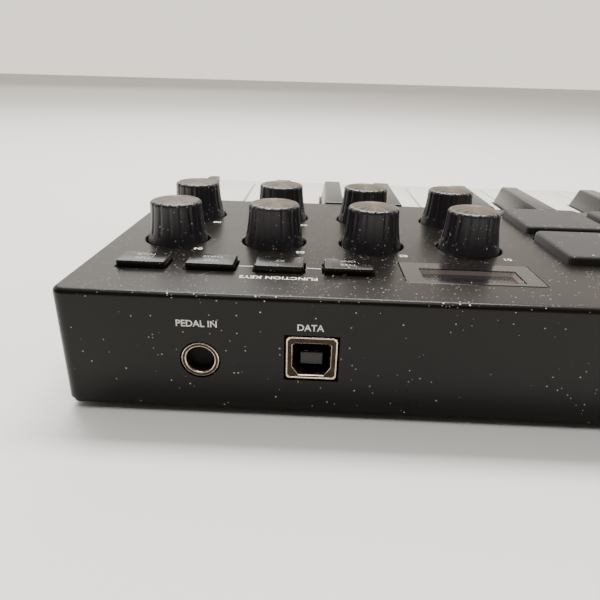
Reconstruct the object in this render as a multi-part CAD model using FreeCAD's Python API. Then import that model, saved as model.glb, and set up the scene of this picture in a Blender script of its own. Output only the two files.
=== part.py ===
"""Compact USB keyboard controller: 25 small keys, 8 pads, 8 endless knobs, 10 buttons and a thumb stick.

Millimetres. +X runs to the player's right, +Y to the rear panel, +Z up. The origin is on the table,
under the centre of the case. The player sits at -Y, and the sockets are on the +Y face.
"""
import FreeCAD
import Part

import math
import os

V = FreeCAD.Vector
X_AXIS, Y_AXIS, Z_AXIS = V(1, 0, 0), V(0, 1, 0), V(0, 0, 1)

# ---- driving dimensions -------------------------------------------------------------------------
CASE_W = 318.0            # along X
CASE_D = 181.0            # along Y
TOTAL_H = 44.5            # table to knob tops
FOOT_H = 2.0
DECK_Z = 32.6             # top of the control deck
DECK_D = 95.0             # deck, front edge to rear face
WALL = 2.2
DECK_T = 2.4

HALF_W = CASE_W / 2
REAR_Y = CASE_D / 2
FRONT_Y = -CASE_D / 2
DECK_FRONT_Y = REAR_Y - DECK_D
DECK_UNDER_Z = DECK_Z - DECK_T
SPLIT_Z = 3.2             # lower edge of the top case
REVEAL = 0.3              # shadow line between the two case halves
TRAY_TOP_Z = 4.6          # inner floor of the bottom case
RAIL_TOP_Z = 10.0         # front rail under the keys
EDGE_R = 1.45             # rear and side edges of the deck
CORNER_R = 3.0
RIM_CHAMFER = 0.3         # round every opening in the deck

# keys
WHITE_COUNT = 15
WHITE_PITCH = 20.4
WHITE_GAP = 0.9
WHITE_TOP_Z = 25.0
WHITE_UNDER_Z = 13.5
WHITE_FRONT_Y = FRONT_Y + 0.8
WHITE_HEAD_L = 34.2       # full-width front part
KEY_WALL = 1.3
KEY_TOP_T = 2.0
BLACK_W = 9.8
BLACK_TOP_W = 7.0
BLACK_TOP_Z = 33.2
BLACK_L = 49.3
BLACK_SLOPE = 4.0         # how far the front face leans back
KEY_REAR_Y = DECK_FRONT_Y - 0.7
KEY_TRAVEL_DEG = 1.7
SHARP_SHIFT = {"C#": -1.9, "D#": 1.9, "F#": -2.6, "G#": 0.0, "A#": 2.6}
NATURALS = "CDEFGAB"
PIVOT_Y, PIVOT_Z = 12.0, 15.5
ROD_R = 1.2
RUN_GAP = 0.05            # radial clearance of every running fit
ARM_W = 5.0
ARM_Z = (12.0, 19.0)
ARM_END_Y = 15.2
CHEEK_TOP_Z = 27.0
DOME_Y, DOME_TOP_Z = -22.0, 11.6     # rubber contact domes under the keys
PLUNGER_Z = 12.9
KEYBED_HALF_W = WHITE_COUNT * WHITE_PITCH / 2 + 0.2

# knobs
KNOB_PITCH = 28.9
KNOB_ROW_PITCH = 29.2
KNOB_FIRST_X = HALF_W - 18.9      # column nearest the player's right
KNOB_REAR_Y = REAR_Y - 42.6
KNOB_HOLE_R = 9.45
KNOB_BASE_R = 8.85
KNOB_MID_R = 7.9
KNOB_TOP_R = 7.4
KNOB_FLUTES = 16
FLUTE_R = 0.7
FLUTE_DEPTH = 0.28
KNOB_LOW_Z = DECK_Z - 0.9
SHAFT_R = 3.0

# pads
PAD_SIZE = 26.8
PAD_PITCH = 31.0
PAD_GAP = 0.5
PAD_TOP_Z = DECK_Z + 2.6
PAD_RIGHT_X = 29.1
PAD_FRONT_Y = 2.6

# buttons
BUTTON_W = 12.3
BUTTON_D = 7.6
BUTTON_GAP = 0.3
BUTTON_TOP_Z = DECK_Z + 1.7
BUTTON_TRAVEL = 0.5
PAD_BUTTON_PITCH = 17.55
PAD_BUTTON_X = HALF_W - 16.1
PAD_BUTTON_Y = REAR_Y - 19.5
LEFT_BUTTON_X = (-141.0, -112.0)
LEFT_BUTTON_Y = (31.5, 18.5, 5.5)

# display
LENS_X = (41.9, 76.5)
LENS_Y = (REAR_Y - 27.3, REAR_Y - 12.1)
LENS_T = 1.2
WINDOW_X = (46.9, 71.5)
WINDOW_Y = (LENS_Y[0] + 4.9, LENS_Y[1] - 1.9)

# thumb stick
STICK_X, STICK_Y, STICK_Z = -126.5, 61.0, 22.0    # centre of both tilt axes
DOME_R = 14.5
DOME_WALL = 1.3
DOME_CLEAR = 0.5
DOME_HALF_ANGLE = 72.0
STICK_POST_R = 3.5
STICK_CAP_R = 8.4
STICK_TOP_Z = 44.0
GIMBAL_OUT_R, GIMBAL_IN_R, GIMBAL_HALF_H = 8.5, 6.2, 2.0
GIMBAL_PIN_R = 1.5
STICK_PIN_R = 1.2

# boards and sockets
BOARD_Z = (22.0, 23.6)
BOARD_Y = (17.0, 87.6)
BOARD_HALF_W = 155.5
JACK_X, JACK_Z = HALF_W - 33.9, 15.7
JACK_BORE_R = 3.25
JACK_RING_R = 4.6
JACK_DEPTH = 27.0
USB_X, USB_Z = HALF_W - 60.2, 17.2
USB_W, USB_H, USB_L = 12.04, 11.1, 16.2
USB_IN_W, USB_IN_H = 8.7, 8.1
USB_DROP = 0.35             # how far the mouth sits below the shell's middle
SOCKET_FACE_Y = REAR_Y - 0.1

# fasteners
SCREW_POSTS = [(-151.4, 83.0), (151.4, 83.0), (20.0, 84.0), (-62.0, 84.0),
               (-151.4, 42.0), (151.4, 42.0)]
POST_R = 3.2
SCREW_R = 1.4
HEAD_R = 2.8


# ---- small helpers ------------------------------------------------------------------------------
def box(x0, x1, y0, y1, z0, z1):
    """A box between two corners."""
    return Part.makeBox(x1 - x0, y1 - y0, z1 - z0, V(x0, y0, z0))


def rod(radius, start, end):
    """A cylinder from one point to another."""
    axis = V(*end) - V(*start)
    return Part.makeCylinder(radius, axis.Length, V(*start), axis)


def centred(x, y, width, depth, z0, z1):
    """A box centred on a point of the plan."""
    return box(x - width / 2, x + width / 2, y - depth / 2, y + depth / 2, z0, z1)


def cut_all(solid, tools):
    """solid with every tool cut away, in one operation."""
    return solid.cut(Part.makeCompound(list(tools)))


def fuse_all(solids):
    """One clean solid from solids that touch or overlap."""
    first, *rest = solids
    return first.fuse(rest).removeSplitter()


def edges_where(solid, test):
    """The edges whose two end points both pass a test."""
    found = []
    for edge in solid.Edges:
        ends = [v.Point for v in edge.Vertexes]
        if len(ends) == 2 and all(test(p) for p in ends):
            found.append(edge)
    return found


def near(a, b):
    return abs(a - b) < 1e-4


def revolve(points, centre):
    """A solid of revolution about the vertical axis through centre, from (radius, z) points."""
    wire = Part.makePolygon([V(centre[0] + r, centre[1], z) for r, z in points + points[:1]])
    return Part.Face(wire).revolve(V(centre[0], centre[1], 0), Z_AXIS, 360)


def save(name, *solids):
    """Writes one node's STEP file from its separate solids."""
    shape = solids[0] if len(solids) == 1 else Part.makeCompound(list(solids))
    for solid in shape.Solids:
        if not solid.isValid() or solid.Volume <= 0:
            raise ValueError(name + " holds a bad solid")
    shape.exportStep("parts/" + name + ".step")


# ---- where repeated pieces stand ----------------------------------------------------------------
def key_layout():
    """Every key as (name, is_black, head x range, tail x range), from the lowest note up."""
    keys = []
    left = -WHITE_COUNT * WHITE_PITCH / 2
    half_gap = WHITE_GAP / 2
    sharps = {}
    for i in range(WHITE_COUNT - 1):
        sharp = NATURALS[i % 7] + "#"
        if sharp in SHARP_SHIFT:
            sharps[i] = left + (i + 1) * WHITE_PITCH + SHARP_SHIFT[sharp]
    for i in range(WHITE_COUNT):
        x0 = left + i * WHITE_PITCH + half_gap
        x1 = left + (i + 1) * WHITE_PITCH - half_gap
        reach = BLACK_W / 2 + WHITE_GAP
        tail0 = sharps[i - 1] + reach if i - 1 in sharps else x0
        tail1 = sharps[i] - reach if i in sharps else x1
        octave = 3 + i // 7
        keys.append(("key_%s%d" % (NATURALS[i % 7].lower(), octave), False, (x0, x1), (tail0, tail1)))
        if i in sharps:
            span = (sharps[i] - BLACK_W / 2, sharps[i] + BLACK_W / 2)
            keys.append(("key_%s%d_sharp" % (NATURALS[i % 7].lower(), octave), True, span, span))
    return keys


def knob_places():
    """Knob centres: 1 to 4 along the rear row from the player's left, then 5 to 8 in front of them."""
    places = []
    for row in range(2):
        for column in range(4):
            places.append((KNOB_FIRST_X - (3 - column) * KNOB_PITCH, KNOB_REAR_Y - row * KNOB_ROW_PITCH))
    return places


def pad_places():
    """Pad centres: 1 to 4 along the front row from the left, then 5 to 8 behind them."""
    first_x = PAD_RIGHT_X - PAD_SIZE / 2 - 3 * PAD_PITCH
    first_y = PAD_FRONT_Y + PAD_SIZE / 2
    return [(first_x + (i % 4) * PAD_PITCH, first_y + (i // 4) * PAD_PITCH) for i in range(8)]


def button_places():
    """Every button's name and centre."""
    rear_names = ["button_bank", "button_control", "button_program", "button_select"]
    left_names = ["button_arpeggio", "button_tempo", "button_repeat",
                  "button_level", "button_octave_down", "button_octave_up"]
    places = []
    for i, name in enumerate(rear_names):
        places.append((name, PAD_BUTTON_X - (3 - i) * PAD_BUTTON_PITCH, PAD_BUTTON_Y))
    for i, name in enumerate(left_names):
        places.append((name, LEFT_BUTTON_X[i % 2], LEFT_BUTTON_Y[i // 2]))
    return places


# ---- casing -------------------------------------------------------------------------------------
def deck_block():
    """The outer form of the control deck, with its rounded edges."""
    block = box(-HALF_W, HALF_W, DECK_FRONT_Y, REAR_Y, SPLIT_Z, DECK_Z)
    corners = edges_where(block, lambda p: near(p.y, REAR_Y) and near(abs(p.x), HALF_W))
    block = block.makeFillet(CORNER_R, [e for e in corners if near(e.Length, DECK_Z - SPLIT_Z)])
    top = edges_where(block, lambda p: near(p.z, DECK_Z))
    front = [e for e in top if all(near(v.Point.y, DECK_FRONT_Y) for v in e.Vertexes)]
    rest = [e for e in top if not any(e.isSame(f) for f in front)]
    return block.makeFillet(EDGE_R, rest)


def cheek(side):
    """One end cheek beside the keys. side is -1 or 1."""
    inner, outer = side * KEYBED_HALF_W, side * HALF_W
    lo, hi = min(inner, outer), max(inner, outer)
    block = box(lo, hi, FRONT_Y, DECK_FRONT_Y + WALL, SPLIT_Z, CHEEK_TOP_Z)
    corner = edges_where(block, lambda p: near(p.x, outer) and near(p.y, FRONT_Y))
    block = block.makeFillet(CORNER_R, corner)
    top = edges_where(block, lambda p: near(p.z, CHEEK_TOP_Z) and not near(p.x, inner)
                      and not near(p.y, DECK_FRONT_Y + WALL))
    long_edge = edges_where(block, lambda p: near(p.z, CHEEK_TOP_Z) and near(p.x, outer))
    block = block.makeFillet(EDGE_R * 0.6, top + [e for e in long_edge if not any(e.isSame(t) for t in top)])
    pocket_lo, pocket_hi = sorted((inner + side * 1.6, outer - side * WALL))
    return block.cut(box(pocket_lo, pocket_hi, FRONT_Y + WALL, DECK_FRONT_Y + WALL - 1.6,
                         SPLIT_Z, CHEEK_TOP_Z - WALL))


def rounded_slot(x, y, width, depth, radius, z0, z1):
    """A rectangular cutter with round corners."""
    cutter = centred(x, y, width, depth, z0, z1)
    uprights = [e for e in cutter.Edges if near(e.Length, z1 - z0) and
                near(e.Vertexes[0].Point.x, e.Vertexes[1].Point.x) and
                near(e.Vertexes[0].Point.y, e.Vertexes[1].Point.y)]
    return cutter.makeFillet(radius, uprights)


def deck_openings():
    """Cutters for everything that comes up through the deck."""
    low, high = DECK_UNDER_Z - 1, DECK_Z + 1
    tools = [rod(KNOB_HOLE_R, (x, y, low), (x, y, high)) for x, y in knob_places()]
    pad_hole = PAD_SIZE + 2 * PAD_GAP
    tools += [rounded_slot(x, y, pad_hole, pad_hole, 2.4, low, high) for x, y in pad_places()]
    for _, x, y in button_places():
        tools.append(rounded_slot(x, y, BUTTON_W + 2 * BUTTON_GAP, BUTTON_D + 2 * BUTTON_GAP, 0.6, low, high))
    lens_x, lens_y = sum(LENS_X) / 2, sum(LENS_Y) / 2
    tools.append(rounded_slot(lens_x, lens_y, LENS_X[1] - LENS_X[0] + 0.2, LENS_Y[1] - LENS_Y[0] + 0.2,
                              0.9, DECK_Z - LENS_T - 0.1, high))
    tools.append(box(WINDOW_X[0], WINDOW_X[1], WINDOW_Y[0], WINDOW_Y[1], low, high))
    tools.append(Part.makeSphere(DOME_R + DOME_CLEAR, V(STICK_X, STICK_Y, STICK_Z)))
    return tools


def chamfer_rims(shell):
    """The deck with a fine chamfer round the knob, pad and button openings."""
    def inside(edge):
        box_ = edge.BoundBox
        flat = near(box_.ZMin, DECK_Z) and near(box_.ZMax, DECK_Z)
        reach = max(HALF_W - EDGE_R - 1, 0)
        return (flat and box_.XMax < reach and box_.XMin > -reach and box_.YMax < REAR_Y - EDGE_R - 1
                and box_.YMin > DECK_FRONT_Y + 1 and not lens_edge(box_) and box_.DiagonalLength < 40)

    def lens_edge(box_):
        return box_.XMin > LENS_X[0] - 1 and box_.XMax < LENS_X[1] + 1 and box_.YMin > LENS_Y[0] - 1

    return shell.makeChamfer(RIM_CHAMFER, [e for e in shell.Edges if inside(e)])


def usb_cutter(clearance, y0, y1):
    """A block the size of the USB socket's shell, grown by a clearance."""
    return box(USB_X - USB_W / 2 - clearance, USB_X + USB_W / 2 + clearance, y0, y1,
               USB_Z - USB_H / 2 - clearance, USB_Z + USB_H / 2 + clearance)


def make_top_case():
    """Control deck, rear panel, side walls and end cheeks in one moulding."""
    shell = fuse_all([deck_block(), cheek(-1), cheek(1)])
    cavity = box(-HALF_W + WALL, HALF_W - WALL, DECK_FRONT_Y + WALL, REAR_Y - WALL, SPLIT_Z - 1, DECK_UNDER_Z)
    key_mouth = box(-KEYBED_HALF_W, KEYBED_HALF_W, DECK_FRONT_Y - 1, DECK_FRONT_Y + WALL + 1,
                    SPLIT_Z - 1, WHITE_TOP_Z + 1.2)
    rear = [rod(JACK_RING_R + 0.25, (JACK_X, REAR_Y - WALL - 1, JACK_Z), (JACK_X, REAR_Y + 1, JACK_Z)),
            usb_cutter(0.45, REAR_Y - WALL - 1, REAR_Y + 1)]
    shell = chamfer_rims(cut_all(shell, [cavity, key_mouth] + deck_openings() + rear))
    posts = [rod(POST_R, (x, y, 8.2), (x, y, DECK_UNDER_Z + 0.5)) for x, y in SCREW_POSTS]
    shell = fuse_all([shell] + posts)
    pilots = [rod(SCREW_R + RUN_GAP, (x, y, 7), (x, y, 18)) for x, y in SCREW_POSTS]
    save("top_case", cut_all(shell, pilots))


def make_bottom_case():
    """Stepped tray with a front rail under the keys, an inner lip and screw bosses."""
    inset = 0.6
    flange_top = SPLIT_Z - REVEAL
    flange = box(-HALF_W + inset, HALF_W - inset, FRONT_Y + inset, REAR_Y - inset, FOOT_H, flange_top)
    uprights = [e for e in flange.Edges if near(e.Length, flange_top - FOOT_H)]
    flange = flange.makeFillet(CORNER_R - inset, uprights)
    floor = box(-KEYBED_HALF_W + 0.3, KEYBED_HALF_W - 0.3, FRONT_Y + WALL, REAR_Y - WALL - 0.3,
                FOOT_H, TRAY_TOP_Z)
    rail = box(-KEYBED_HALF_W + 0.3, KEYBED_HALF_W - 0.3, FRONT_Y, FRONT_Y + WALL, FOOT_H + 0.6, RAIL_TOP_Z)
    rail = rail.makeFillet(0.8, edges_where(rail, lambda p: near(p.y, FRONT_Y) and near(p.z, RAIL_TOP_Z)))
    lip_x, lip_low, lip_top = HALF_W - WALL - 0.3, FOOT_H + 0.3, SPLIT_Z + 4
    lips = [box(-lip_x, lip_x, REAR_Y - WALL - 1.7, REAR_Y - WALL - 0.3, lip_low, lip_top)]
    for side in (-1, 1):
        lo, hi = sorted((side * lip_x, side * (lip_x - 1.4)))
        lips.append(box(lo, hi, DECK_FRONT_Y + WALL + 1, REAR_Y - WALL - 0.3, lip_low, lip_top))
    bosses = [rod(HEAD_R + 1.3, (x, y, FOOT_H), (x, y, 8.0)) for x, y in SCREW_POSTS]
    tray = fuse_all([flange, floor, rail] + lips + bosses)
    holes = [rod(SCREW_R + 0.3, (x, y, 0), (x, y, 10)) for x, y in SCREW_POSTS]
    sinks = [rod(HEAD_R + 0.3, (x, y, 0), (x, y, 5.0)) for x, y in SCREW_POSTS]
    save("bottom_case", cut_all(tray, holes + sinks))


def make_fasteners_and_feet():
    """Self-tapping case screws with sunk pan heads, and four stick-on rubber feet."""
    screws = []
    for x, y in SCREW_POSTS:
        head = rod(HEAD_R, (x, y, 3.2), (x, y, 4.95))
        rim = [e for e in head.Edges if len(e.Vertexes) == 1 and near(e.Vertexes[0].Point.z, 3.2)]
        head = head.makeFillet(0.7, rim)
        slots = [centred(x, y, 2.6, 0.6, 3.0, 3.9), centred(x, y, 0.6, 2.6, 3.0, 3.9)]
        screws.append(fuse_all([cut_all(head, slots), rod(SCREW_R, (x, y, 4.9), (x, y, 16.5))]))
    save("case_screws", *screws)
    feet = []
    for x in (-136.0, 136.0):
        for y in (-72.0, 72.0):
            foot = rod(7.0, (x, y, 0), (x, y, FOOT_H))
            rim = [e for e in foot.Edges if len(e.Vertexes) == 1 and near(e.Vertexes[0].Point.z, 0)]
            feet.append(foot.makeChamfer(0.6, rim))
    save("rubber_feet", *feet)


# ---- keys ---------------------------------------------------------------------------------------
def arm(x0, x1):
    """The bar that carries a key back to the pivot rod, with its bore."""
    x = (x0 + x1) / 2
    bar = box(x - ARM_W / 2, x + ARM_W / 2, KEY_REAR_Y - KEY_WALL, ARM_END_Y, *ARM_Z)
    return bar.cut(rod(ROD_R + RUN_GAP, (x - ARM_W, PIVOT_Y, PIVOT_Z), (x + ARM_W, PIVOT_Y, PIVOT_Z)))


def on_rear_face(edge):
    """True for an edge that lies in a key's rear face."""
    return all(near(v.Point.y, KEY_REAR_Y) for v in edge.Vertexes)


def plunger(x, top_z):
    """The post under a key's top that presses its rubber dome."""
    return centred(x, DOME_Y, 3.0, 3.0, PLUNGER_Z, top_z)


def white_key(head, tail):
    """A white key: wide head, narrower tail between the black keys, hollow underneath."""
    head_rear_y = WHITE_FRONT_Y + WHITE_HEAD_L
    outer = fuse_all([box(*head, WHITE_FRONT_Y, head_rear_y, WHITE_UNDER_Z, WHITE_TOP_Z),
                      box(*tail, head_rear_y - 1, KEY_REAR_Y, WHITE_UNDER_Z, WHITE_TOP_Z)])
    rim = edges_where(outer, lambda p: near(p.z, WHITE_TOP_Z) and p.y < KEY_REAR_Y + 0.1)
    outer = outer.makeFillet(0.5, [e for e in rim if not on_rear_face(e)])
    hollow_z = (WHITE_UNDER_Z - 1, WHITE_TOP_Z - KEY_TOP_T)
    hollows = [box(head[0] + KEY_WALL, head[1] - KEY_WALL, WHITE_FRONT_Y + KEY_WALL,
                   head_rear_y - KEY_WALL, *hollow_z),
               box(tail[0] + KEY_WALL, tail[1] - KEY_WALL, head_rear_y - KEY_WALL - 1,
                   KEY_REAR_Y - KEY_WALL, *hollow_z)]
    post = plunger(sum(tail) / 2, WHITE_TOP_Z - KEY_TOP_T + 0.5)
    return fuse_all([cut_all(outer, hollows), arm(*tail), post])


def black_key(span):
    """A black key: tapered block with a leaning front, hollow underneath."""
    x = sum(span) / 2
    front_y = KEY_REAR_Y - BLACK_L
    under_z = WHITE_TOP_Z - 8.0
    base = [V(x - BLACK_W / 2, front_y, WHITE_TOP_Z), V(x + BLACK_W / 2, front_y, WHITE_TOP_Z),
            V(x + BLACK_W / 2, KEY_REAR_Y, WHITE_TOP_Z), V(x - BLACK_W / 2, KEY_REAR_Y, WHITE_TOP_Z)]
    top = [V(x - BLACK_TOP_W / 2, front_y + BLACK_SLOPE, BLACK_TOP_Z),
           V(x + BLACK_TOP_W / 2, front_y + BLACK_SLOPE, BLACK_TOP_Z),
           V(x + BLACK_TOP_W / 2, KEY_REAR_Y, BLACK_TOP_Z), V(x - BLACK_TOP_W / 2, KEY_REAR_Y, BLACK_TOP_Z)]
    wedge = Part.makeLoft([Part.makePolygon(base + base[:1]), Part.makePolygon(top + top[:1])], True, True)
    rim = edges_where(wedge, lambda p: near(p.z, BLACK_TOP_Z))
    wedge = wedge.makeFillet(0.9, [e for e in rim if not on_rear_face(e)])
    skirt = box(*span, front_y, KEY_REAR_Y, under_z, WHITE_TOP_Z)
    hollow = box(span[0] + KEY_WALL, span[1] - KEY_WALL, front_y + KEY_WALL, KEY_REAR_Y - KEY_WALL,
                 under_z - 1, WHITE_TOP_Z)
    upper = centred(x, (front_y + KEY_REAR_Y) / 2 + 2, BLACK_TOP_W - 2 * KEY_WALL,
                    BLACK_L - 10, WHITE_TOP_Z - 1, BLACK_TOP_Z - KEY_TOP_T)
    post = plunger(x, BLACK_TOP_Z - KEY_TOP_T + 0.5)
    return fuse_all([cut_all(fuse_all([wedge, skirt]), [hollow, upper]), arm(*span), post])


def make_keys():
    for name, is_black, head, tail in key_layout():
        save(name, black_key(head) if is_black else white_key(head, tail))


def make_key_bed():
    """Pivot rod, the moulded frame that holds it, and the contact strip under the keys."""
    keys = key_layout()
    rod_end = KEYBED_HALF_W - 1.2
    save("key_pivot_rod", rod(ROD_R, (-rod_end, PIVOT_Y, PIVOT_Z), (rod_end, PIVOT_Y, PIVOT_Z)))

    plate_z = (6.2, 7.7)
    plate = box(-151.5, 151.5, -85.0, 19.0, *plate_z)
    window = [box(-146 + i * 73.5, -146 + i * 73.5 + 66, -50.0, -34.0, 0, 10) for i in range(4)]
    centres = [sum(tail) / 2 for _, _, _, tail in keys]
    ribs = [box(-151.5, -149.9, 7.5, 16.5, plate_z[0], 18.2), box(149.9, 151.5, 7.5, 16.5, plate_z[0], 18.2)]
    for a, b in zip(centres[:-1], centres[1:]):
        middle = (a + b) / 2
        ribs.append(box(middle - 0.8, middle + 0.8, 7.5, 16.5, plate_z[0], 18.2))
    guides = []
    for _, is_black, head, _ in keys:
        x = sum(head) / 2
        guide_y = -50.5 if is_black else -80.0
        guides.append(box(x - 1.2, x + 1.2, guide_y - 1.5, guide_y + 1.5, plate_z[0], 17.8))
    legs = [rod(3.0, (x, y, TRAY_TOP_Z), (x, y, plate_z[0] + 0.5))
            for x in (-120, -40, 40, 120) for y in (-78.0, 2.0)]
    frame = fuse_all([cut_all(plate, window)] + ribs + guides + legs)
    frame = frame.cut(rod(ROD_R + RUN_GAP, (-160, PIVOT_Y, PIVOT_Z), (160, PIVOT_Y, PIVOT_Z)))
    save("key_frame", frame)

    strip = box(-150.0, 150.0, -31.0, -13.0, 7.7, 9.3)
    domes = [rod(3.2, (x, DOME_Y, 9.2), (x, DOME_Y, DOME_TOP_Z)) for x in centres]
    save("key_contact_strip", fuse_all([strip] + domes))


# ---- controls -----------------------------------------------------------------------------------
def knob_profile():
    """The waisted side of a knob as a curve from its base to its top edge."""
    side = Part.BSplineCurve()
    side.interpolate([V(KNOB_BASE_R, 0, KNOB_LOW_Z + 0.4), V(KNOB_MID_R + 0.35, 0, DECK_Z + 2.8),
                      V(KNOB_MID_R - 0.1, 0, DECK_Z + 5.6), V(KNOB_TOP_R, 0, TOTAL_H - 1.3)])
    lines = [V(0, 0, TOTAL_H), V(3.2, 0, TOTAL_H - 0.1), V(KNOB_TOP_R - 1.0, 0, TOTAL_H - 0.35),
             V(KNOB_TOP_R - 0.3, 0, TOTAL_H - 0.75), V(KNOB_TOP_R, 0, TOTAL_H - 1.3)]
    foot = [V(KNOB_BASE_R, 0, KNOB_LOW_Z + 0.4), V(KNOB_BASE_R - 0.4, 0, KNOB_LOW_Z), V(0, 0, KNOB_LOW_Z)]
    edges = [side.toShape()]
    edges += [Part.makeLine(a, b) for a, b in zip(lines[:-1], lines[1:])]
    edges += [Part.makeLine(a, b) for a, b in zip(foot[:-1], foot[1:])]
    edges.append(Part.makeLine(foot[-1], lines[0]))
    return Part.Face(Part.Wire(Part.__sortEdges__(edges)))


def make_knobs():
    """Fluted knob caps, each with its encoder shaft."""
    body = knob_profile().revolve(V(0, 0, 0), Z_AXIS, 360)
    flutes = []
    reach = KNOB_TOP_R + FLUTE_R - FLUTE_DEPTH
    foot_reach = KNOB_BASE_R + FLUTE_R - FLUTE_DEPTH * 0.2
    for i in range(KNOB_FLUTES):
        turn = 2 * math.pi * i / KNOB_FLUTES
        way = V(math.cos(turn), math.sin(turn), 0)
        flutes.append(rod(FLUTE_R, tuple(way * foot_reach + V(0, 0, KNOB_LOW_Z + 1.6)),
                          tuple(way * reach + V(0, 0, TOTAL_H + 1))))
    cavity = rod(6.2, (0, 0, KNOB_LOW_Z - 1), (0, 0, 35.4))
    bore = rod(SHAFT_R + 0.02, (0, 0, 35), (0, 0, 41.5))
    cap = cut_all(body, flutes + [cavity, bore])
    shaft = rod(SHAFT_R, (0, 0, 25.0), (0, 0, 41.4))
    shaft = shaft.cut(box(1.5, 5, -5, 5, 36.0, 45))
    for i, (x, y) in enumerate(knob_places()):
        place = V(x, y, 0)
        save("knob_%d" % (i + 1), cap.translated(place), shaft.translated(place))


def make_encoders():
    """Rotary encoder bodies with their threaded necks, soldered to the board."""
    encoders = []
    for x, y in knob_places():
        body = centred(x, y, 12.4, 13.2, BOARD_Z[1], 29.9)
        neck = rod(3.5, (x, y, 29.8), (x, y, 34.2))
        bore = rod(SHAFT_R + RUN_GAP, (x, y, 24.8), (x, y, 36))
        encoders.append(fuse_all([body, neck]).cut(bore))
    save("encoders", *encoders)


def make_pads():
    """Eight force-sensing pads moulded in one silicone sheet."""
    places = pad_places()
    xs = [x for x, _ in places]
    ys = [y for _, y in places]
    margin = PAD_SIZE / 2 + 1.7
    base_z = BOARD_Z[1]
    sheet = box(min(xs) - margin, max(xs) + margin, min(ys) - margin, max(ys) + margin, base_z, base_z + 1.2)
    blocks, hollows = [], []
    for x, y in places:
        block = rounded_slot(x, y, PAD_SIZE, PAD_SIZE, 1.9, base_z, PAD_TOP_Z)
        rim = [e for e in block.Edges if all(near(v.Point.z, PAD_TOP_Z) for v in e.Vertexes)]
        blocks.append(block.makeFillet(1.1, rim))
        hollows.append(centred(x, y, PAD_SIZE - 7, PAD_SIZE - 7, base_z - 1, PAD_TOP_Z - 4.5))
    save("pad_sheet", cut_all(fuse_all([sheet] + blocks), hollows))


def make_buttons():
    """Low rectangular button caps with a retaining flange and a plunger."""
    flange_top = DECK_UNDER_Z - 0.05
    for name, x, y in button_places():
        cap = rounded_slot(x, y, BUTTON_W, BUTTON_D, 0.5, flange_top - 1.0, BUTTON_TOP_Z)
        rim = [e for e in cap.Edges if all(near(v.Point.z, BUTTON_TOP_Z) for v in e.Vertexes)]
        cap = cap.makeFillet(0.25, rim)
        flange = centred(x, y, BUTTON_W + 2.4, BUTTON_D + 2.2, flange_top - 1.0, flange_top)
        plunger = centred(x, y, 3.0, 3.0, 26.1, flange_top - 0.5)
        save(name, fuse_all([cap, flange, plunger]))


def make_display():
    """Clear lens let into the deck, and the small display module below it."""
    x, y = sum(LENS_X) / 2, sum(LENS_Y) / 2
    width, depth, top_z = LENS_X[1] - LENS_X[0], LENS_Y[1] - LENS_Y[0], DECK_Z + 0.1
    lens = rounded_slot(x, y, width, depth, 0.8, DECK_Z - LENS_T, top_z)
    rim = [e for e in lens.Edges if all(near(v.Point.z, top_z) for v in e.Vertexes)]
    save("display_lens", lens.makeChamfer(0.25, rim))
    y = sum(WINDOW_Y) / 2
    glass = centred(x, y, 28.4, 12.4, 28.4, 30.1)
    carrier = centred(x, y, 31.0, 15.0, 27.0, 28.4)
    pins = centred(x, y + 6.0, 10.0, 2.2, BOARD_Z[1], 27.0)
    save("display_module", fuse_all([glass, carrier, pins]))


def make_thumb_stick():
    """Two-axis thumb stick: box base, gimbal ring, and the stick with its closing dome."""
    cx, cy, cz = STICK_X, STICK_Y, STICK_Z
    centre = V(cx, cy, cz)
    post_y = (9.3, 11.5)

    flange = centred(cx, cy, 42.0, 42.0, cz - 1.6, cz)
    tub = centred(cx, cy, 33.0, 33.0, 9.6, cz)
    hollow = centred(cx, cy, 30.2, 30.2, 11.1, cz + 1)
    uprights = []
    for side in (-1, 1):
        y0, y1 = sorted((cy + side * post_y[0], cy + side * post_y[1]))
        uprights.append(box(cx - 2.5, cx + 2.5, y0, y1, 10.0, cz + 2.5))
    base = fuse_all([cut_all(fuse_all([flange, tub]), [hollow])] + uprights)
    base = base.cut(rod(GIMBAL_PIN_R + RUN_GAP, (cx, cy - 12.5, cz), (cx, cy + 12.5, cz)))
    save("stick_base", base)

    ring = rod(GIMBAL_OUT_R, (cx, cy, cz - GIMBAL_HALF_H), (cx, cy, cz + GIMBAL_HALF_H))
    ring = ring.cut(rod(GIMBAL_IN_R, (cx, cy, cz - 5), (cx, cy, cz + 5)))
    pins = [rod(GIMBAL_PIN_R, (cx, cy + side * 7.5, cz), (cx, cy + side * 11.6, cz)) for side in (-1, 1)]
    ring = fuse_all([ring] + pins)
    ring = ring.cut(rod(STICK_PIN_R + RUN_GAP, (cx - 10, cy, cz), (cx + 10, cy, cz)))
    save("stick_gimbal", ring)

    ball = Part.makeSphere(DOME_R, centre).cut(Part.makeSphere(DOME_R - DOME_WALL, centre))
    rim_z = cz + DOME_R * math.cos(math.radians(DOME_HALF_ANGLE))
    dome = ball.common(centred(cx, cy, 40, 40, rim_z, cz + 20))
    post = rod(STICK_POST_R, (cx, cy, cz - 5.0), (cx, cy, STICK_TOP_Z - 3))
    cross_pin = rod(STICK_PIN_R, (cx - 8.3, cy, cz), (cx + 8.3, cy, cz))
    cap = revolve([(0, 39.0), (STICK_CAP_R - 1.6, 39.0), (STICK_CAP_R, 40.4), (STICK_CAP_R, 43.2),
                   (STICK_CAP_R - 0.8, STICK_TOP_Z), (STICK_CAP_R - 1.8, STICK_TOP_Z),
                   (STICK_CAP_R - 3.2, 43.3), (0, 43.0)], (cx, cy))
    neck = revolve([(0, 35.5), (5.6, 35.5), (STICK_POST_R, 38.0), (4.6, 39.6), (0, 39.6)], (cx, cy))
    save("thumb_stick", fuse_all([dome, post, cross_pin, cap, neck]))


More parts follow.
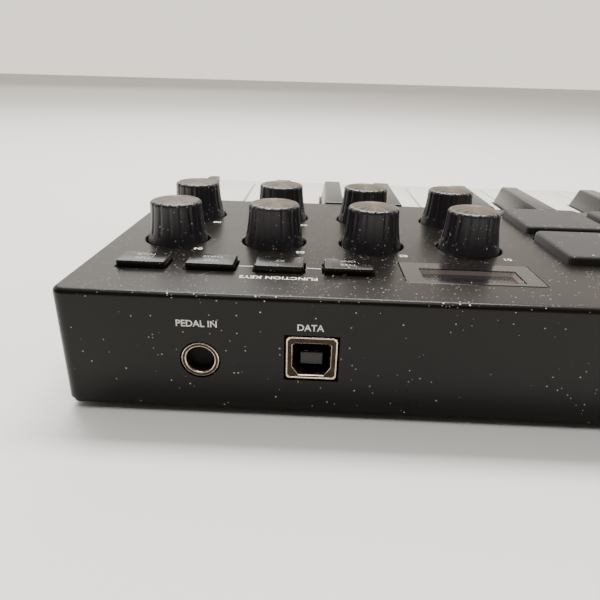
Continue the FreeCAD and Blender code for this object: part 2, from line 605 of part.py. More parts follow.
# ---- electronics --------------------------------------------------------------------------------
def make_main_board():
    """One board under the deck, with switches, chips and the cut-outs it needs."""
    z0, z1 = BOARD_Z
    board = box(-BOARD_HALF_W, BOARD_HALF_W, *BOARD_Y, z0, z1)
    front = box(-108.0, 40.0, 1.6, BOARD_Y[0] + 1, z0, z1)
    left = box(-BOARD_HALF_W, -107.0, 1.6, BOARD_Y[0] + 1, z0, z1)
    board = fuse_all([board, front, left])
    cutters = [rod(POST_R + 0.5, (x, y, 0), (x, y, 40)) for x, y in SCREW_POSTS]
    cutters.append(centred(STICK_X, STICK_Y, 33.0, 33.0, 0, 40))
    cutters.append(usb_cutter(0.3, SOCKET_FACE_Y - USB_L - 0.3, REAR_Y))
    board = cut_all(board, cutters)
    switches = [centred(x, y, 6.0, 6.0, z1 - 0.2, z1 + 1.9) for _, x, y in button_places()]
    chip_low, chip_high = z0 - 1.4, z0 + 0.2
    chips = [centred(60.0, 30.0, 12.0, 12.0, chip_low, chip_high),
             centred(20.0, 60.0, 9.0, 9.0, chip_low, chip_high),
             centred(-40.0, 50.0, 20.0, 7.0, chip_low, chip_high),
             centred(76.0, 60.0, 8.0, 5.0, chip_low, chip_high)]
    save("main_board", fuse_all([board] + switches + chips))


def make_usb_socket():
    """USB type B receptacle: folded metal shell, and the insert with its contact tongue."""
    y0 = SOCKET_FACE_Y - USB_L
    shell = usb_cutter(0, y0, SOCKET_FACE_Y)
    bend = [e for e in shell.Edges if near(e.Length, USB_L)]
    shell = shell.makeFillet(0.5, bend)
    half_w, top_z, low_z = USB_IN_W / 2, USB_Z - USB_DROP + USB_IN_H / 2, USB_Z - USB_DROP - USB_IN_H / 2
    corner_w, corner_h = 1.6, 2.3
    mouth = [V(USB_X - half_w, 0, top_z), V(USB_X + half_w, 0, top_z),
             V(USB_X + half_w, 0, low_z + corner_h), V(USB_X + half_w - corner_w, 0, low_z),
             V(USB_X - half_w + corner_w, 0, low_z), V(USB_X - half_w, 0, low_z + corner_h)]
    bore = Part.Face(Part.makePolygon(mouth + mouth[:1])).extrude(V(0, USB_L - 2.0, 0))
    bore.translate(V(0, SOCKET_FACE_Y - USB_L + 2.0 + 0.001, 0))
    tongue_z = USB_Z - USB_DROP
    tongue = box(USB_X - 2.8, USB_X + 2.8, y0 + 1.0, SOCKET_FACE_Y - 1.6, tongue_z - 1.6, tongue_z + 1.6)
    save("usb_socket", fuse_all([shell.cut(bore), tongue]))


def make_pedal_jack():
    """Quarter-inch jack: plastic body behind the panel and a round nose through it."""
    y0 = SOCKET_FACE_Y - JACK_DEPTH - 1.5
    body = box(JACK_X - 7.0, JACK_X + 7.0, y0, REAR_Y - WALL - 0.1, JACK_Z - 6.2, JACK_Z + 6.2)
    nose = rod(JACK_RING_R, (JACK_X, REAR_Y - WALL - 1, JACK_Z), (JACK_X, SOCKET_FACE_Y, JACK_Z))
    bore = rod(JACK_BORE_R, (JACK_X, SOCKET_FACE_Y - JACK_DEPTH, JACK_Z), (JACK_X, REAR_Y + 1, JACK_Z))
    save("pedal_jack", fuse_all([body, nose]).cut(bore))


def main():
    os.makedirs("parts", exist_ok=True)
    make_top_case()
    make_bottom_case()
    make_fasteners_and_feet()
    make_keys()
    make_key_bed()
    make_knobs()
    make_encoders()
    make_pads()
    make_buttons()
    make_display()
    make_thumb_stick()
    make_main_board()
    make_usb_socket()
    make_pedal_jack()


main()
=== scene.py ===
"""Looks of a compact keyboard controller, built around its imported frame.

Metres, in the frame's own axes: +X to the player's right, +Y to the rear panel, +Z up.
Casings, boards and fasteners keep the frame's solids and are dressed here. Everything that a hand or an eye
meets first (knobs, keys, pads, buttons, stick, display, sockets, print) is modelled again in full detail.
"""

import logging
import math
from dataclasses import dataclass, field
from enum import Enum
from typing import Callable, Iterable, Sequence

import bmesh
import bpy
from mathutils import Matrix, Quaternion, Vector


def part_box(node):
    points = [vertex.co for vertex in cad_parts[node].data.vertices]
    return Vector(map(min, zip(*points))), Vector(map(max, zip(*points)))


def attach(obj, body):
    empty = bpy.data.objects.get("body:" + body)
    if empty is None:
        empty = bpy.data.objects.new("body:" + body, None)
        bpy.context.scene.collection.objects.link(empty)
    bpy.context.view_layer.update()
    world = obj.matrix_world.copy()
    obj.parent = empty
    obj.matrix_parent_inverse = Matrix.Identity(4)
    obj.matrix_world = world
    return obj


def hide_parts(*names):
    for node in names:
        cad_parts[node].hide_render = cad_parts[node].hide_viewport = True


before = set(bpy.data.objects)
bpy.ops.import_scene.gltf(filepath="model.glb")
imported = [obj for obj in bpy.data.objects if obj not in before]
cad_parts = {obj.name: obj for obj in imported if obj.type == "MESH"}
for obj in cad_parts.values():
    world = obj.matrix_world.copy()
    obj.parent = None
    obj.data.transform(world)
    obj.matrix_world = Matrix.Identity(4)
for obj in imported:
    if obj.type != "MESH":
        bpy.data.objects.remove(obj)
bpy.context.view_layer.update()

MM = 0.001
TURN = 2 * math.pi
INK_LIFT = 0.004 * MM
LOG = logging.getLogger("keyboard")
UP = Vector((0, 0, 1))
DOWN = Vector((0, 0, -1))
REARWARD = Vector((0, 1, 0))

Point = tuple[float, float, float]
Socket = bpy.types.NodeSocket
Test = Callable[[Vector, Vector], bool]


class Slot(str, Enum):
    """The record's material slots, which the modelled pieces pass when they are mounted."""

    CASE = "case"
    PAD = "pad"
    LENS = "lens"
    SOCKET = "socket_metal"
    WHITE_KEY = "white_key"
    BLACK_KEY = "black_key"
    KNOB = "knob"
    BUTTON = "button"
    STICK = "stick"


class Facing(Enum):
    """Which way print is read: from the player's side on the deck, or from behind on the rear panel."""

    DECK = (0.0, 0.0, 0.0)
    REAR = (math.pi / 2, 0.0, math.pi)


# ---- finishes -----------------------------------------------------------------------------------
def linear(colour: str) -> tuple[float, float, float, float]:
    """Turns an sRGB hex colour to linear light.

    Args:
        colour: Six hex digits after a hash sign.

    Returns:
        Red, green, blue and alpha for a colour socket.
    """
    parts = [int(colour[i:i + 2], 16) / 255 for i in (1, 3, 5)]
    light = [p / 12.92 if p <= 0.04045 else ((p + 0.055) / 1.055) ** 2.4 for p in parts]
    return (light[0], light[1], light[2], 1.0)


def set_inputs(tree: bpy.types.NodeTree, node: bpy.types.Node, inputs: dict) -> None:
    """Sets a node's inputs, by name or index, and links those that are given as sockets."""
    for name, value in inputs.items():
        if isinstance(value, Socket):
            tree.links.new(value, node.inputs[name])
        else:
            node.inputs[name].default_value = value


def add_node(tree: bpy.types.NodeTree, kind: str, settings: dict | None = None,
             inputs: dict | None = None) -> bpy.types.Node:
    """Adds one shader node.

    Args:
        tree: The node tree.
        kind: The node type's identifier, without its prefix.
        settings: Attributes of the node, by name.
        inputs: Values or output sockets for the node's inputs, by name or index.

    Returns:
        The new node.
    """
    node = tree.nodes.new("ShaderNode" + kind)
    for name, value in (settings or {}).items():
        setattr(node, name, value)
    set_inputs(tree, node, inputs or {})
    return node


class Graph:
    """One material's nodes, with the set-ups that the finishes share."""

    def __init__(self, title: str) -> None:
        """Starts a material and its object coordinates."""
        self.material = bpy.data.materials.new(title)
        self.material.use_nodes = True
        self.tree = self.material.node_tree
        self.place = self.add("TexCoord").outputs["Object"]

    def add(self, kind: str, settings: dict | None = None, inputs: dict | None = None) -> bpy.types.Node:
        """Adds one node."""
        return add_node(self.tree, kind, settings, inputs)

    def noise(self, size: float, detail: float, roughness: float = 0.5,
              place: Socket | None = None) -> Socket:
        """Cloudy noise from 0 to 1, whose clouds are about a size across."""
        return self.add("TexNoise", {}, {"Vector": place or self.place, "Scale": 1 / size, "Detail": detail,
                                         "Roughness": roughness}).outputs["Fac"]

    def remap(self, value: Socket, start: float, end: float, low: float = 0.0, high: float = 1.0) -> Socket:
        """Takes the range from start to end to the range from low to high, and holds its ends."""
        return self.add("MapRange", {}, {"Value": value, "From Min": start, "From Max": end,
                                         "To Min": low, "To Max": high}).outputs["Result"]

    def maths(self, operation: str, first: Socket, second: Socket) -> Socket:
        """One sum on two values."""
        return self.add("Math", {"operation": operation}, {0: first, 1: second}).outputs[0]

    def blend(self, share: Socket, first: Socket | str, second: str) -> Socket:
        """Mixes two colours, given as hex or, the first, as a socket."""
        first = linear(first) if isinstance(first, str) else first
        return self.add("Mix", {"data_type": "RGBA"},
                        {"Factor": share, "A": first, "B": linear(second)}).outputs["Result"]

    def bump(self, height: Socket, depth: float, strength: float) -> Socket:
        """Normals of a surface whose relief has a depth."""
        return self.add("Bump", {}, {"Height": height, "Distance": depth,
                                     "Strength": strength}).outputs["Normal"]

    def finish(self, inputs: dict) -> bpy.types.Material:
        """Sets the Principled shader's inputs and gives back the material."""
        set_inputs(self.tree, self.tree.nodes["Principled BSDF"], inputs)
        return self.material


@dataclass(frozen=True)
class Finish:
    """A surface: its name, its colour and how rough it is."""

    title: str
    colour: str
    roughness: float

    def build(self) -> bpy.types.Material:
        """Makes the material."""
        raise NotImplementedError


@dataclass(frozen=True)
class TwoTone(Finish):
    """A surface whose colour drifts between two tones."""

    second_colour: str

    def tone(self, graph: Graph, share: Socket) -> Socket:
        """The colour where the second tone has a share."""
        return graph.blend(share, self.colour, self.second_colour)


@dataclass(frozen=True)
class Moulded(TwoTone):
    """Injection-moulded plastic or rubber with a fine spark-eroded grain, slight mottling and some dust."""

    grain: float = 0.35 * MM
    grain_depth: float = 0.02 * MM
    mottle: float = 60 * MM
    specular: float = 0.5
    ior: float = 1.5
    sheen: float = 0.0
    dust: float = 0.0
    dust_on_walls: float = 0.025
    dust_colour: str = "#cfc9bd"
    dust_cell: float = 0.9 * MM
    dust_drift: float = 14 * MM
    speck: tuple[float, float] = (0.09, 0.26)

    def build(self) -> bpy.types.Material:
        """Makes the material."""
        graph = Graph(self.title)
        # slow change of tone across a moulding, from flow and handling
        cloud = graph.noise(self.mottle, 3.0, 0.55)
        colour = self.tone(graph, cloud)
        roughness = graph.remap(cloud, 0.3, 0.7, self.roughness * 0.9, self.roughness * 1.1)
        if self.dust:
            mask = self.dust_mask(graph)
            colour = graph.blend(mask, colour, self.dust_colour)
            roughness = graph.add("Mix", {"data_type": "FLOAT"},
                                  {"Factor": mask, "A": roughness, "B": 0.9}).outputs["Result"]
        # grain that breaks up the highlight
        normal = graph.bump(graph.noise(self.grain, 2.0, 0.6), self.grain_depth, 0.6)
        return graph.finish({"Base Color": colour, "Roughness": roughness, "Normal": normal, "IOR": self.ior,
                             "Specular IOR Level": self.specular, "Sheen Weight": self.sheen})

    def dust_mask(self, graph: Graph) -> Socket:
        """Small pale specks, most of them on faces that look up.

        Args:
            graph: The material's nodes.

        Returns:
            A socket that is above 0 on a speck, up to 1 where it is thick, and 0 elsewhere.
        """
        # at most one speck in each cell, with its size as a share of the cell
        cells = graph.add("TexVoronoi", {"feature": "F1"},
                          {"Vector": graph.place, "Scale": 1 / self.dust_cell, "Randomness": 1.0})
        draw = graph.add("SeparateColor", {}, {"Color": cells.outputs["Color"]}).outputs
        normal = graph.add("NewGeometry").outputs["Normal"]
        up = graph.add("SeparateXYZ", {}, {"Vector": normal}).outputs["Z"]
        lies = graph.remap(up, -0.1, 0.7, self.dust * self.dust_on_walls, self.dust)
        # it gathers in drifts a couple of centimetres across
        drift = graph.remap(graph.noise(self.dust_drift, 2.0), 0.38, 0.6, 0.25)
        chosen = graph.maths("LESS_THAN", draw["Red"], graph.maths("MULTIPLY", lies, drift))
        size = graph.remap(draw["Green"], 0, 1, *self.speck)
        inside = graph.maths("LESS_THAN", cells.outputs["Distance"], size)
        # some are thin enough to see through
        return graph.maths("MULTIPLY", graph.maths("MULTIPLY", chosen, inside), draw["Blue"])


@dataclass(frozen=True)
class SpunPlastic(TwoTone):
    """Plastic turned on a lathe: rings round an upright axis, which spread a highlight into a streak. Its
    colour also carries painted sheen in lighter and darker sectors.
    """

    centre: Point
    ring: float = 0.28 * MM
    ring_depth: float = 0.006 * MM

    def build(self) -> bpy.types.Material:
        """Makes the material."""
        graph = Graph(self.title)
        about = graph.add("Mapping", {}, {"Vector": graph.place,
                                          "Location": tuple(-c for c in self.centre)}).outputs["Vector"]
        # the tool's path runs round the axis
        along = graph.add("VectorMath", {"operation": "CROSS_PRODUCT"}, {0: (0, 0, 1), 1: about})
        unit = graph.add("VectorMath", {"operation": "NORMALIZE"}, {0: along.outputs["Vector"]})
        rings = graph.add("TexWave", {"wave_type": "RINGS", "rings_direction": "Z"},
                          {"Vector": about, "Scale": 1 / (20 * self.ring), "Distortion": 0.0})
        # painted sheen: sectors of the colour made lighter and darker, standing in for the streaky reflection
        # that a spun face shows
        angle = graph.add("TexGradient", {"gradient_type": "RADIAL"}, {"Vector": about})
        painted_sheen_sector = graph.add("TexNoise", {"noise_dimensions": "1D"},
                           {"W": angle.outputs["Fac"], "Scale": 26.0, "Detail": 3.0, "Roughness": 0.7})
        bright = graph.remap(painted_sheen_sector.outputs["Fac"], 0.35, 0.72)
        return graph.finish({"Base Color": self.tone(graph, bright), "Roughness": self.roughness,
                             "Specular IOR Level": 0.16, "Anisotropic": 0.85,
                             "Tangent": unit.outputs["Vector"],
                             "Normal": graph.bump(rings.outputs["Fac"], self.ring_depth, 0.4)})


@dataclass(frozen=True)
class Plated(TwoTone):
    """Pressed or turned metal, plated: a soft mirror with fine drawing lines and dull patches."""

    stretch: Point = (1.0, 1.0, 1.0)
    line: float = 0.25 * MM
    line_depth: float = 0.006 * MM
    patch: float = 3 * MM

    def build(self) -> bpy.types.Material:
        """Makes the material."""
        graph = Graph(self.title)
        along = graph.add("Mapping", {}, {"Vector": graph.place, "Scale": self.stretch}).outputs["Vector"]
        lines = graph.noise(self.line, 3.0, place=along)
        patches = graph.noise(self.patch, 4.0)
        rough = graph.remap(patches, 0.3, 0.7, self.roughness * 0.7, self.roughness * 1.4)
        return graph.finish({"Base Color": self.tone(graph, patches), "Roughness": rough, "Metallic": 1.0,
                             "Normal": graph.bump(lines, self.line_depth, 0.5)})


@dataclass(frozen=True)
class Printed(TwoTone):
    """Pad-printed ink: opaque, flat, a little thin in places."""

    def build(self) -> bpy.types.Material:
        """Makes the material."""
        graph = Graph(self.title)
        thin = graph.remap(graph.noise(0.6 * MM, 3.0), 0.55, 0.8)
        return graph.finish({"Base Color": self.tone(graph, thin), "Roughness": self.roughness})


@dataclass(frozen=True)
class ClearPane(Finish):
    """Thin clear acrylic: mostly seen through, with the room's gloss on it and faint wiping marks."""

    clearness: float = 0.9

    def build(self) -> bpy.types.Material:
        """Makes the material."""
        graph = Graph(self.title)
        wiped = graph.noise(5 * MM, 4.0)
        rough = graph.remap(wiped, 0, 1, self.roughness, self.roughness * 3)
        haze = graph.remap(wiped, 0, 1, 1 - self.clearness, 1.1 - self.clearness)
        return graph.finish({"Base Color": linear(self.colour), "Roughness": rough, "Alpha": haze})


@dataclass(frozen=True)
class Screen(TwoTone):
    """A small display that is switched off: dark glass over a fine pixel grid, a little blue."""

    pixel: float = 0.35 * MM

    def build(self) -> bpy.types.Material:
        """Makes the material."""
        graph = Graph(self.title)
        lit = linear(self.colour)
        grid = graph.add("TexBrick", {"offset": 0.0},
                         {"Vector": graph.place, "Scale": 1 / self.pixel, "Brick Width": 1.0,
                          "Row Height": 1.0, "Mortar Size": 0.12, "Color1": lit, "Color2": lit,
                          "Mortar": linear(self.second_colour)})
        return graph.finish({"Base Color": grid.outputs["Color"], "Roughness": self.roughness})


@dataclass(frozen=True)
class SolderMask(TwoTone):
    """Glass-fibre board under green lacquer, with the copper tracks showing as lines of the first tone."""

    track: float = 2.5 * MM

    def build(self) -> bpy.types.Material:
        """Makes the material."""
        graph = Graph(self.title)
        tracks = graph.add("TexVoronoi", {"feature": "DISTANCE_TO_EDGE"},
                           {"Vector": graph.place, "Scale": 1 / self.track})
        edge = graph.remap(tracks.outputs["Distance"], 0, 0.08)
        return graph.finish({"Base Color": self.tone(graph, edge), "Roughness": self.roughness})


class Finishes:
    """Every finish of the keyboard, each made once."""

    def __init__(self) -> None:
        """Builds the materials."""
        # ABS, moulded in a spark-eroded tool: black, satin and warm, with a grain that softens highlights
        self.case = Moulded("black_textured_abs", "#0b0907", 0.29, "#120e0a", dust=0.85,
                            grain=0.32 * MM, grain_depth=0.008 * MM, specular=0.2).build()
        # ABS from a polished tool: the knobs' sides are smoother than the case and shine in their flutes
        self.knob = Moulded("satin_black_abs", "#1b191d", 0.3, "#252328", dust=1.0, dust_on_walls=0.35,
                            grain=0.25 * MM, grain_depth=0.006 * MM).build()
        # the same plastic as the knobs, smooth on the buttons' flat tops
        self.button = Moulded("smooth_black_abs", "#0b0908", 0.22, "#110e0c", dust=0.7, dust_on_walls=0.3,
                              grain=0.25 * MM, grain_depth=0.002 * MM, specular=0.4).build()
        # silicone rubber: dead matt, with a faint bloom
        self.pad = Moulded("black_silicone", "#1a1818", 0.62, "#232120", dust=0.4,
                           grain=0.3 * MM, grain_depth=0.01 * MM, specular=0.35, ior=1.42, sheen=0.15).build()
        # ABS, white and glossy, barely yellow
        self.white_key = Moulded("white_gloss_abs", "#dedcd6", 0.24, "#d7d4cc",
                                 grain=0.8 * MM, grain_depth=0.002 * MM).build()
        # ABS, black, half gloss, so that the key's long edges carry a clear highlight
        self.black_key = Moulded("black_gloss_abs", "#151415", 0.27, "#1b1a1b",
                                 grain=0.6 * MM, grain_depth=0.003 * MM).build()
        # glass-filled nylon inside the case: grey-black and dull
        self.frame_plastic = Moulded("grey_nylon", "#2a2a2b", 0.55, "#343435",
                                     grain=0.5 * MM, grain_depth=0.02 * MM).build()
        # thermoplastic rubber on the stick and the feet
        self.soft_rubber = Moulded("black_rubber", "#171617", 0.7, "#201f20", specular=0.3,
                                   grain=0.4 * MM, grain_depth=0.03 * MM, ior=1.42, sheen=0.1).build()
        self.contact_rubber = Moulded("grey_silicone", "#7d7d7f", 0.6, "#8b8b8d",
                                      grain=0.5 * MM, grain_depth=0.02 * MM, ior=1.42).build()
        # acrylic printed black from behind: deep black gloss
        self.bezel = Moulded("black_backed_acrylic", "#141210", 0.16, "#1a1715", dust=0.1,
                             grain=1.5 * MM, grain_depth=0.001 * MM).build()
        # moulded insert of a socket: black thermoplastic
        self.insert = Moulded("black_insulator", "#0a0909", 0.6, "#0f0e0e", specular=0.15,
                              grain=0.3 * MM, grain_depth=0.01 * MM).build()
        # the same, polished on the tongue, so that its edges show as light lines
        self.tongue = Moulded("polished_insulator", "#151513", 0.3, "#1c1c1a", specular=0.35,
                              grain=0.3 * MM, grain_depth=0.003 * MM).build()
        # bright nickel over brass, warm from the room's light and finely drawn
        self.nickel = Plated("bright_nickel", "#d9cbb8", 0.22, "#b3a18c").build()
        # painted shade: the same plating darkened to brown for the flat faces, standing in for the dim room
        # that they reflect; the bright copy above is left on the edges and lips
        self.shaded_nickel = Plated("painted_shade_nickel", "#3b3129", 0.34, "#28211b").build()
        self.gilt = Plated("gilt_contact", "#c9a862", 0.25, "#b08f4e").build()
        # drawn steel, with its lines along the rod
        self.steel = Plated("drawn_steel", "#a9a9ab", 0.3, "#8d8d90", stretch=(0.05, 1.0, 1.0)).build()
        self.black_steel = Plated("blackened_steel", "#3a3a3c", 0.38, "#2b2b2d").build()
        self.ink = Printed("white_ink", "#d9d6cf", 0.5, "#a9a59c").build()
        self.faint_ink = Printed("grey_ink", "#8e8a84", 0.5, "#5f5c58").build()
        self.pane = ClearPane("clear_acrylic", "#20242c", 0.08).build()
        # painted light: the walls of the well round the screen, pale pinkish brown and dead matt, standing in
        # for light that falls on the far wall
        self.painted_light_wall = Moulded("painted_light_well_wall", "#a38c83", 0.8, "#8c766e",
                              grain=0.4 * MM, grain_depth=0.02 * MM).build()
        self.screen = Screen("dark_display_glass", "#1c2434", 0.4, "#1a2231").build()
        self.board = SolderMask("green_solder_mask", "#2b6440", 0.35, "#17452a").build()

    def spun(self, name: str, centre: Point) -> bpy.types.Material:
        """The turned top of one knob.

        Args:
            name: The knob's name.
            centre: A point on the knob's axis.

        Returns:
            The finished material.
        """
        # the same ABS, faced on a lathe; its light second colour is painted sheen, laid on in sectors
        return SpunPlastic("turned_abs_painted_sheen_" + name, "#0e0b09", 0.32, "#6a5d4c", centre=centre).build()


# ---- modelling bench ----------------------------------------------------------------------------
def looks(way: Vector) -> Test:
    """A test for faces that look one way."""
    return lambda place, normal: normal.dot(way) > 0.9


def runs(way: Vector) -> Test:
    """A test for edges that run along an axis."""
    return lambda place, along: abs(along.dot(way)) > 0.9


def low_corner(node: str) -> Vector:
    """The lowest corner of a CAD node's box."""
    return Vector(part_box(node)[0])


def high_corner(node: str) -> Vector:
    """The highest corner of a CAD node's box."""
    return Vector(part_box(node)[1])


def middle(node: str) -> Vector:
    """The centre of a CAD node's box."""
    return (low_corner(node) + high_corner(node)) / 2


def box(node: str) -> tuple[Vector, Vector, Vector]:
    """A CAD node's lowest corner, highest corner and centre."""
    return low_corner(node), high_corner(node), middle(node)


class Blank:
    """One piece on the bench, shaped with Blender's own operators."""

    def __init__(self, piece: bpy.types.Object) -> None:
        """Takes an object that is already in the scene."""
        self.piece = piece

    # -- starting forms
    @staticmethod
    def clear() -> None:
        """Leaves edit mode and deselects everything."""
        if bpy.context.object and bpy.context.object.mode != "OBJECT":
            bpy.ops.object.mode_set(mode="OBJECT")
        bpy.ops.object.select_all(action="DESELECT")

    @classmethod
    def take_new(cls, name: str) -> "Blank":
        """Names the object just added and puts its place into its mesh."""
        piece = bpy.context.object
        piece.name = piece.data.name = name
        bpy.ops.object.transform_apply(location=True, rotation=True, scale=True)
        return cls(piece)

    @classmethod
    def block(cls, name: str, low: Sequence[float], high: Sequence[float]) -> "Blank":
        """A box-shaped blank.

        Args:
            name: The piece's name.
            low: Its lowest corner.
            high: Its highest corner.

        Returns:
            The blank.
        """
        cls.clear()
        low, high = Vector(low), Vector(high)
        bpy.ops.mesh.primitive_cube_add(size=1.0, location=(low + high) / 2)
        bpy.context.object.scale = high - low
        return cls.take_new(name)

    @classmethod
    def bar(cls, name: str, radius: float, start: Sequence[float], end: Sequence[float],
            sides: int) -> "Blank":
        """A round blank from one point to another.

        Args:
            name: The piece's name.
            radius: Its radius.
            start: The centre of its first end.
            end: The centre of its other end.
            sides: How many flats stand for the round.

        Returns:
            The blank.
        """
        cls.clear()
        start, end = Vector(start), Vector(end)
        bpy.ops.mesh.primitive_cylinder_add(vertices=sides, radius=radius, depth=(end - start).length,
                                            location=(start + end) / 2)
        bpy.context.object.rotation_euler = (end - start).to_track_quat("Z", "Y").to_euler()
        return cls.take_new(name)

    @classmethod
    def post(cls, name: str, radius: float, foot: Vector, ends: Sequence[float], sides: int) -> "Blank":
        """An upright round blank. Its radius, and its ends above the foot, are in millimetres."""
        start, end = (foot + Vector((0, 0, end * MM)) for end in ends)
        return cls.bar(name, radius * MM, start, end, sides)

    @classmethod
    def ball(cls, name: str, radius: float, centre: Sequence[float], segments: int, rings: int) -> "Blank":
        """A round ball, whose poles are on Z."""
        cls.clear()
        bpy.ops.mesh.primitive_uv_sphere_add(segments=segments, ring_count=rings, radius=radius,
                                             location=centre)
        return cls.take_new(name)

    @classmethod
    def words(cls, name: str, text: str, size: float, place: Sequence[float], facing: Facing,
              weight: float = 0.0) -> "Blank":
        """Lettering as a thin raised mesh, centred on a point.

        Args:
            name: The piece's name.
            text: What it says.
            size: The font size.
            place: The centre of the words, on the surface that carries them.
            facing: Which way the words face.
            weight: How much the strokes are thickened, as a share of the size.

        Returns:
            The blank.
        """
        cls.clear()
        bpy.ops.object.text_add()
        letters = bpy.context.object
        letters.data.body = text
        letters.data.size = size
        letters.data.align_x = "CENTER"
        letters.data.align_y = "CENTER"
        letters.data.offset = weight * size
        letters.data.extrude = 0.012 * MM
        letters.data.resolution_u = 3
        bpy.ops.object.convert(target="MESH")
        letters = bpy.context.object
        letters.location = place
        letters.rotation_euler = facing.value
        return cls.take_new(name)

    def activate(self) -> None:
        """Makes this the active piece and the only one selected."""
        self.clear()
        self.piece.select_set(True)
        bpy.context.view_layer.objects.active = self.piece

    # -- edit mode
    def edit(self) -> bmesh.types.BMesh:
        """Opens the piece in edit mode.

        Returns:
            Its edit mesh.
        """
        if bpy.context.object is not self.piece or self.piece.mode != "EDIT":
            self.activate()
            bpy.ops.object.mode_set(mode="EDIT")
        return bmesh.from_edit_mesh(self.piece.data)

    def deselect(self, kind: str) -> bmesh.types.BMesh:
        """Opens the piece with nothing selected, ready to pick parts of one kind.

        Args:
            kind: FACE, EDGE or VERT.

        Returns:
            Its edit mesh.
        """
        mesh = self.edit()
        bpy.ops.mesh.select_mode(type=kind)
        bpy.ops.mesh.select_all(action="DESELECT")
        return mesh

    def pick_faces(self, test: Test) -> "Blank":
        """Selects the faces whose centre and normal pass a test."""
        mesh = self.deselect("FACE")
        for face in mesh.faces:
            face.select_set(test(face.calc_center_median(), face.normal))
        bmesh.update_edit_mesh(self.piece.data)
        return self

    def pick_edges(self, test: Test) -> "Blank":
        """Selects the edges whose centre and direction pass a test."""
        mesh = self.deselect("EDGE")
        for edge in mesh.edges:
            a, b = edge.verts[0].co, edge.verts[1].co
            edge.select_set(test((a + b) / 2, (b - a).normalized()))
        bmesh.update_edit_mesh(self.piece.data)
        return self

    def pick_points(self, test: Test) -> "Blank":
        """Selects the points whose place and normal pass a test."""
        mesh = self.deselect("VERT")
        for point in mesh.verts:
            point.select_set(test(point.co, point.normal))
        mesh.select_flush_mode()
        bmesh.update_edit_mesh(self.piece.data)
        return self

    def extrude(self, offset: Sequence[float]) -> "Blank":
        """Extrudes the selected faces by an offset."""
        bpy.ops.mesh.extrude_region_move(TRANSFORM_OT_translate={"value": Vector(offset)})
        return self

    def move(self, offset: Sequence[float]) -> "Blank":
        """Moves what is selected."""
        bpy.ops.transform.translate(value=Vector(offset))
        return self

    def resize(self, factors: Sequence[float], about: Sequence[float]) -> "Blank":
        """Scales what is selected about a point."""
        bpy.ops.transform.resize(value=Vector(factors), center_override=Vector(about))
        return self

    def grow(self, about: Sequence[float], way: Vector,
             profile: Sequence[tuple[float, float]]) -> "Blank":
        """Runs the selected end face through a profile, one extrusion for each ring.

        Args:
            about: The point on the axis that heights are counted from.
            way: The axis's direction, along X, Y or Z.
            profile: Radius and height of each ring in millimetres. The first is where the face is now.

        Returns:
            The blank.
        """
        radius, height = profile[0]
        for new_radius, new_height in profile[1:]:
            share = new_radius / radius
            self.extrude(way * (new_height - height) * MM)
            self.resize([1 if part else share for part in way], about)
            radius, height = new_radius, new_height
        return self

    def shrink(self, about: Sequence[float], sizes: Sequence[Sequence[float]],
               offset: Sequence[float] = (0, 0, 0)) -> "Blank":
        """Extrudes the selected face by an offset and scales its new edge from one size to another.

        Args:
            about: The point that it is scaled about.
            sizes: The face's size before and after in X, Y and Z. A zero leaves that axis alone.
            offset: How far the face moves.

        Returns:
            The blank.
        """
        self.extrude(offset)
        return self.resize([new / old if old else 1 for old, new in zip(*sizes)], about)

    def inset(self, width: float) -> "Blank":
        """Insets the selected faces."""
        bpy.ops.mesh.inset(thickness=width, use_even_offset=True)
        return self

    def slice(self, point: Sequence[float], normal: Sequence[float], drop_far: bool = False) -> "Blank":
        """Cuts the whole piece with a plane, and drops the side that the normal points to if asked."""
        self.edit()
        bpy.ops.mesh.select_all(action="SELECT")
        bpy.ops.mesh.bisect(plane_co=point, plane_no=normal, clear_outer=drop_far, use_fill=False)
        return self

    def round_edges(self, width: float, segments: int) -> "Blank":
        """Bevels the selected edges."""
        bpy.ops.mesh.bevel(offset=width, segments=segments, affect="EDGES", clamp_overlap=True)
        return self

    def paint(self, material: bpy.types.Material) -> "Blank":
        """Gives the selected faces a material of their own."""
        if material.name not in self.piece.data.materials:
            self.piece.data.materials.append(material)
        self.piece.active_material_index = self.piece.data.materials.find(material.name)
        bpy.ops.object.material_slot_assign()
        return self

    # -- object mode
    def modifier(self, kind: str, **settings: object) -> "Blank":
        """Adds a modifier and applies it."""
        self.activate()
        added = self.piece.modifiers.new(kind.title(), kind)
        for name, value in settings.items():
            setattr(added, name, value)
        bpy.ops.object.modifier_apply(modifier=added.name)
        return self

    def soften(self, width: float, segments: int = 2, angle: float = 35.0) -> "Blank":
        """Rounds every edge that is sharper than an angle in degrees."""
        return self.modifier("BEVEL", width=width, segments=segments, limit_method="ANGLE",
                             angle_limit=math.radians(angle), harden_normals=False)

    def smooth(self, angle: float = 32.0) -> "Blank":
        """Shades the piece smooth, apart from edges sharper than an angle in degrees."""
        self.activate()
        bpy.ops.object.shade_smooth_by_angle(angle=math.radians(angle))
        return self

    def outward(self) -> "Blank":
        """Merges doubles and turns every face outwards."""
        self.edit()
        bpy.ops.mesh.select_all(action="SELECT")
        bpy.ops.mesh.remove_doubles(threshold=1e-6)
        bpy.ops.mesh.normals_make_consistent(inside=False)
        return self

    def copy(self, name: str, offset: Sequence[float]) -> "Blank":
        """A copy with its own mesh, moved by an offset.

        Args:
            name: The copy's name.
            offset: How far it stands from this piece.

        Returns:
            The copy.
        """
        self.activate()
        bpy.ops.object.duplicate(linked=False)
        bpy.context.object.location = Vector(offset)
        return self.take_new(name)

    def join(self, others: Iterable["Blank"]) -> "Blank":
        """Takes other blanks into this one."""
        self.activate()
        for other in others:
            other.piece.select_set(True)
        bpy.ops.object.join()
        return self

    def dress(self, material: bpy.types.Material) -> "Blank":
        """Gives the whole piece one material."""
        self.clear()
        self.piece.data.materials.clear()
        self.piece.data.materials.append(material)
        return self

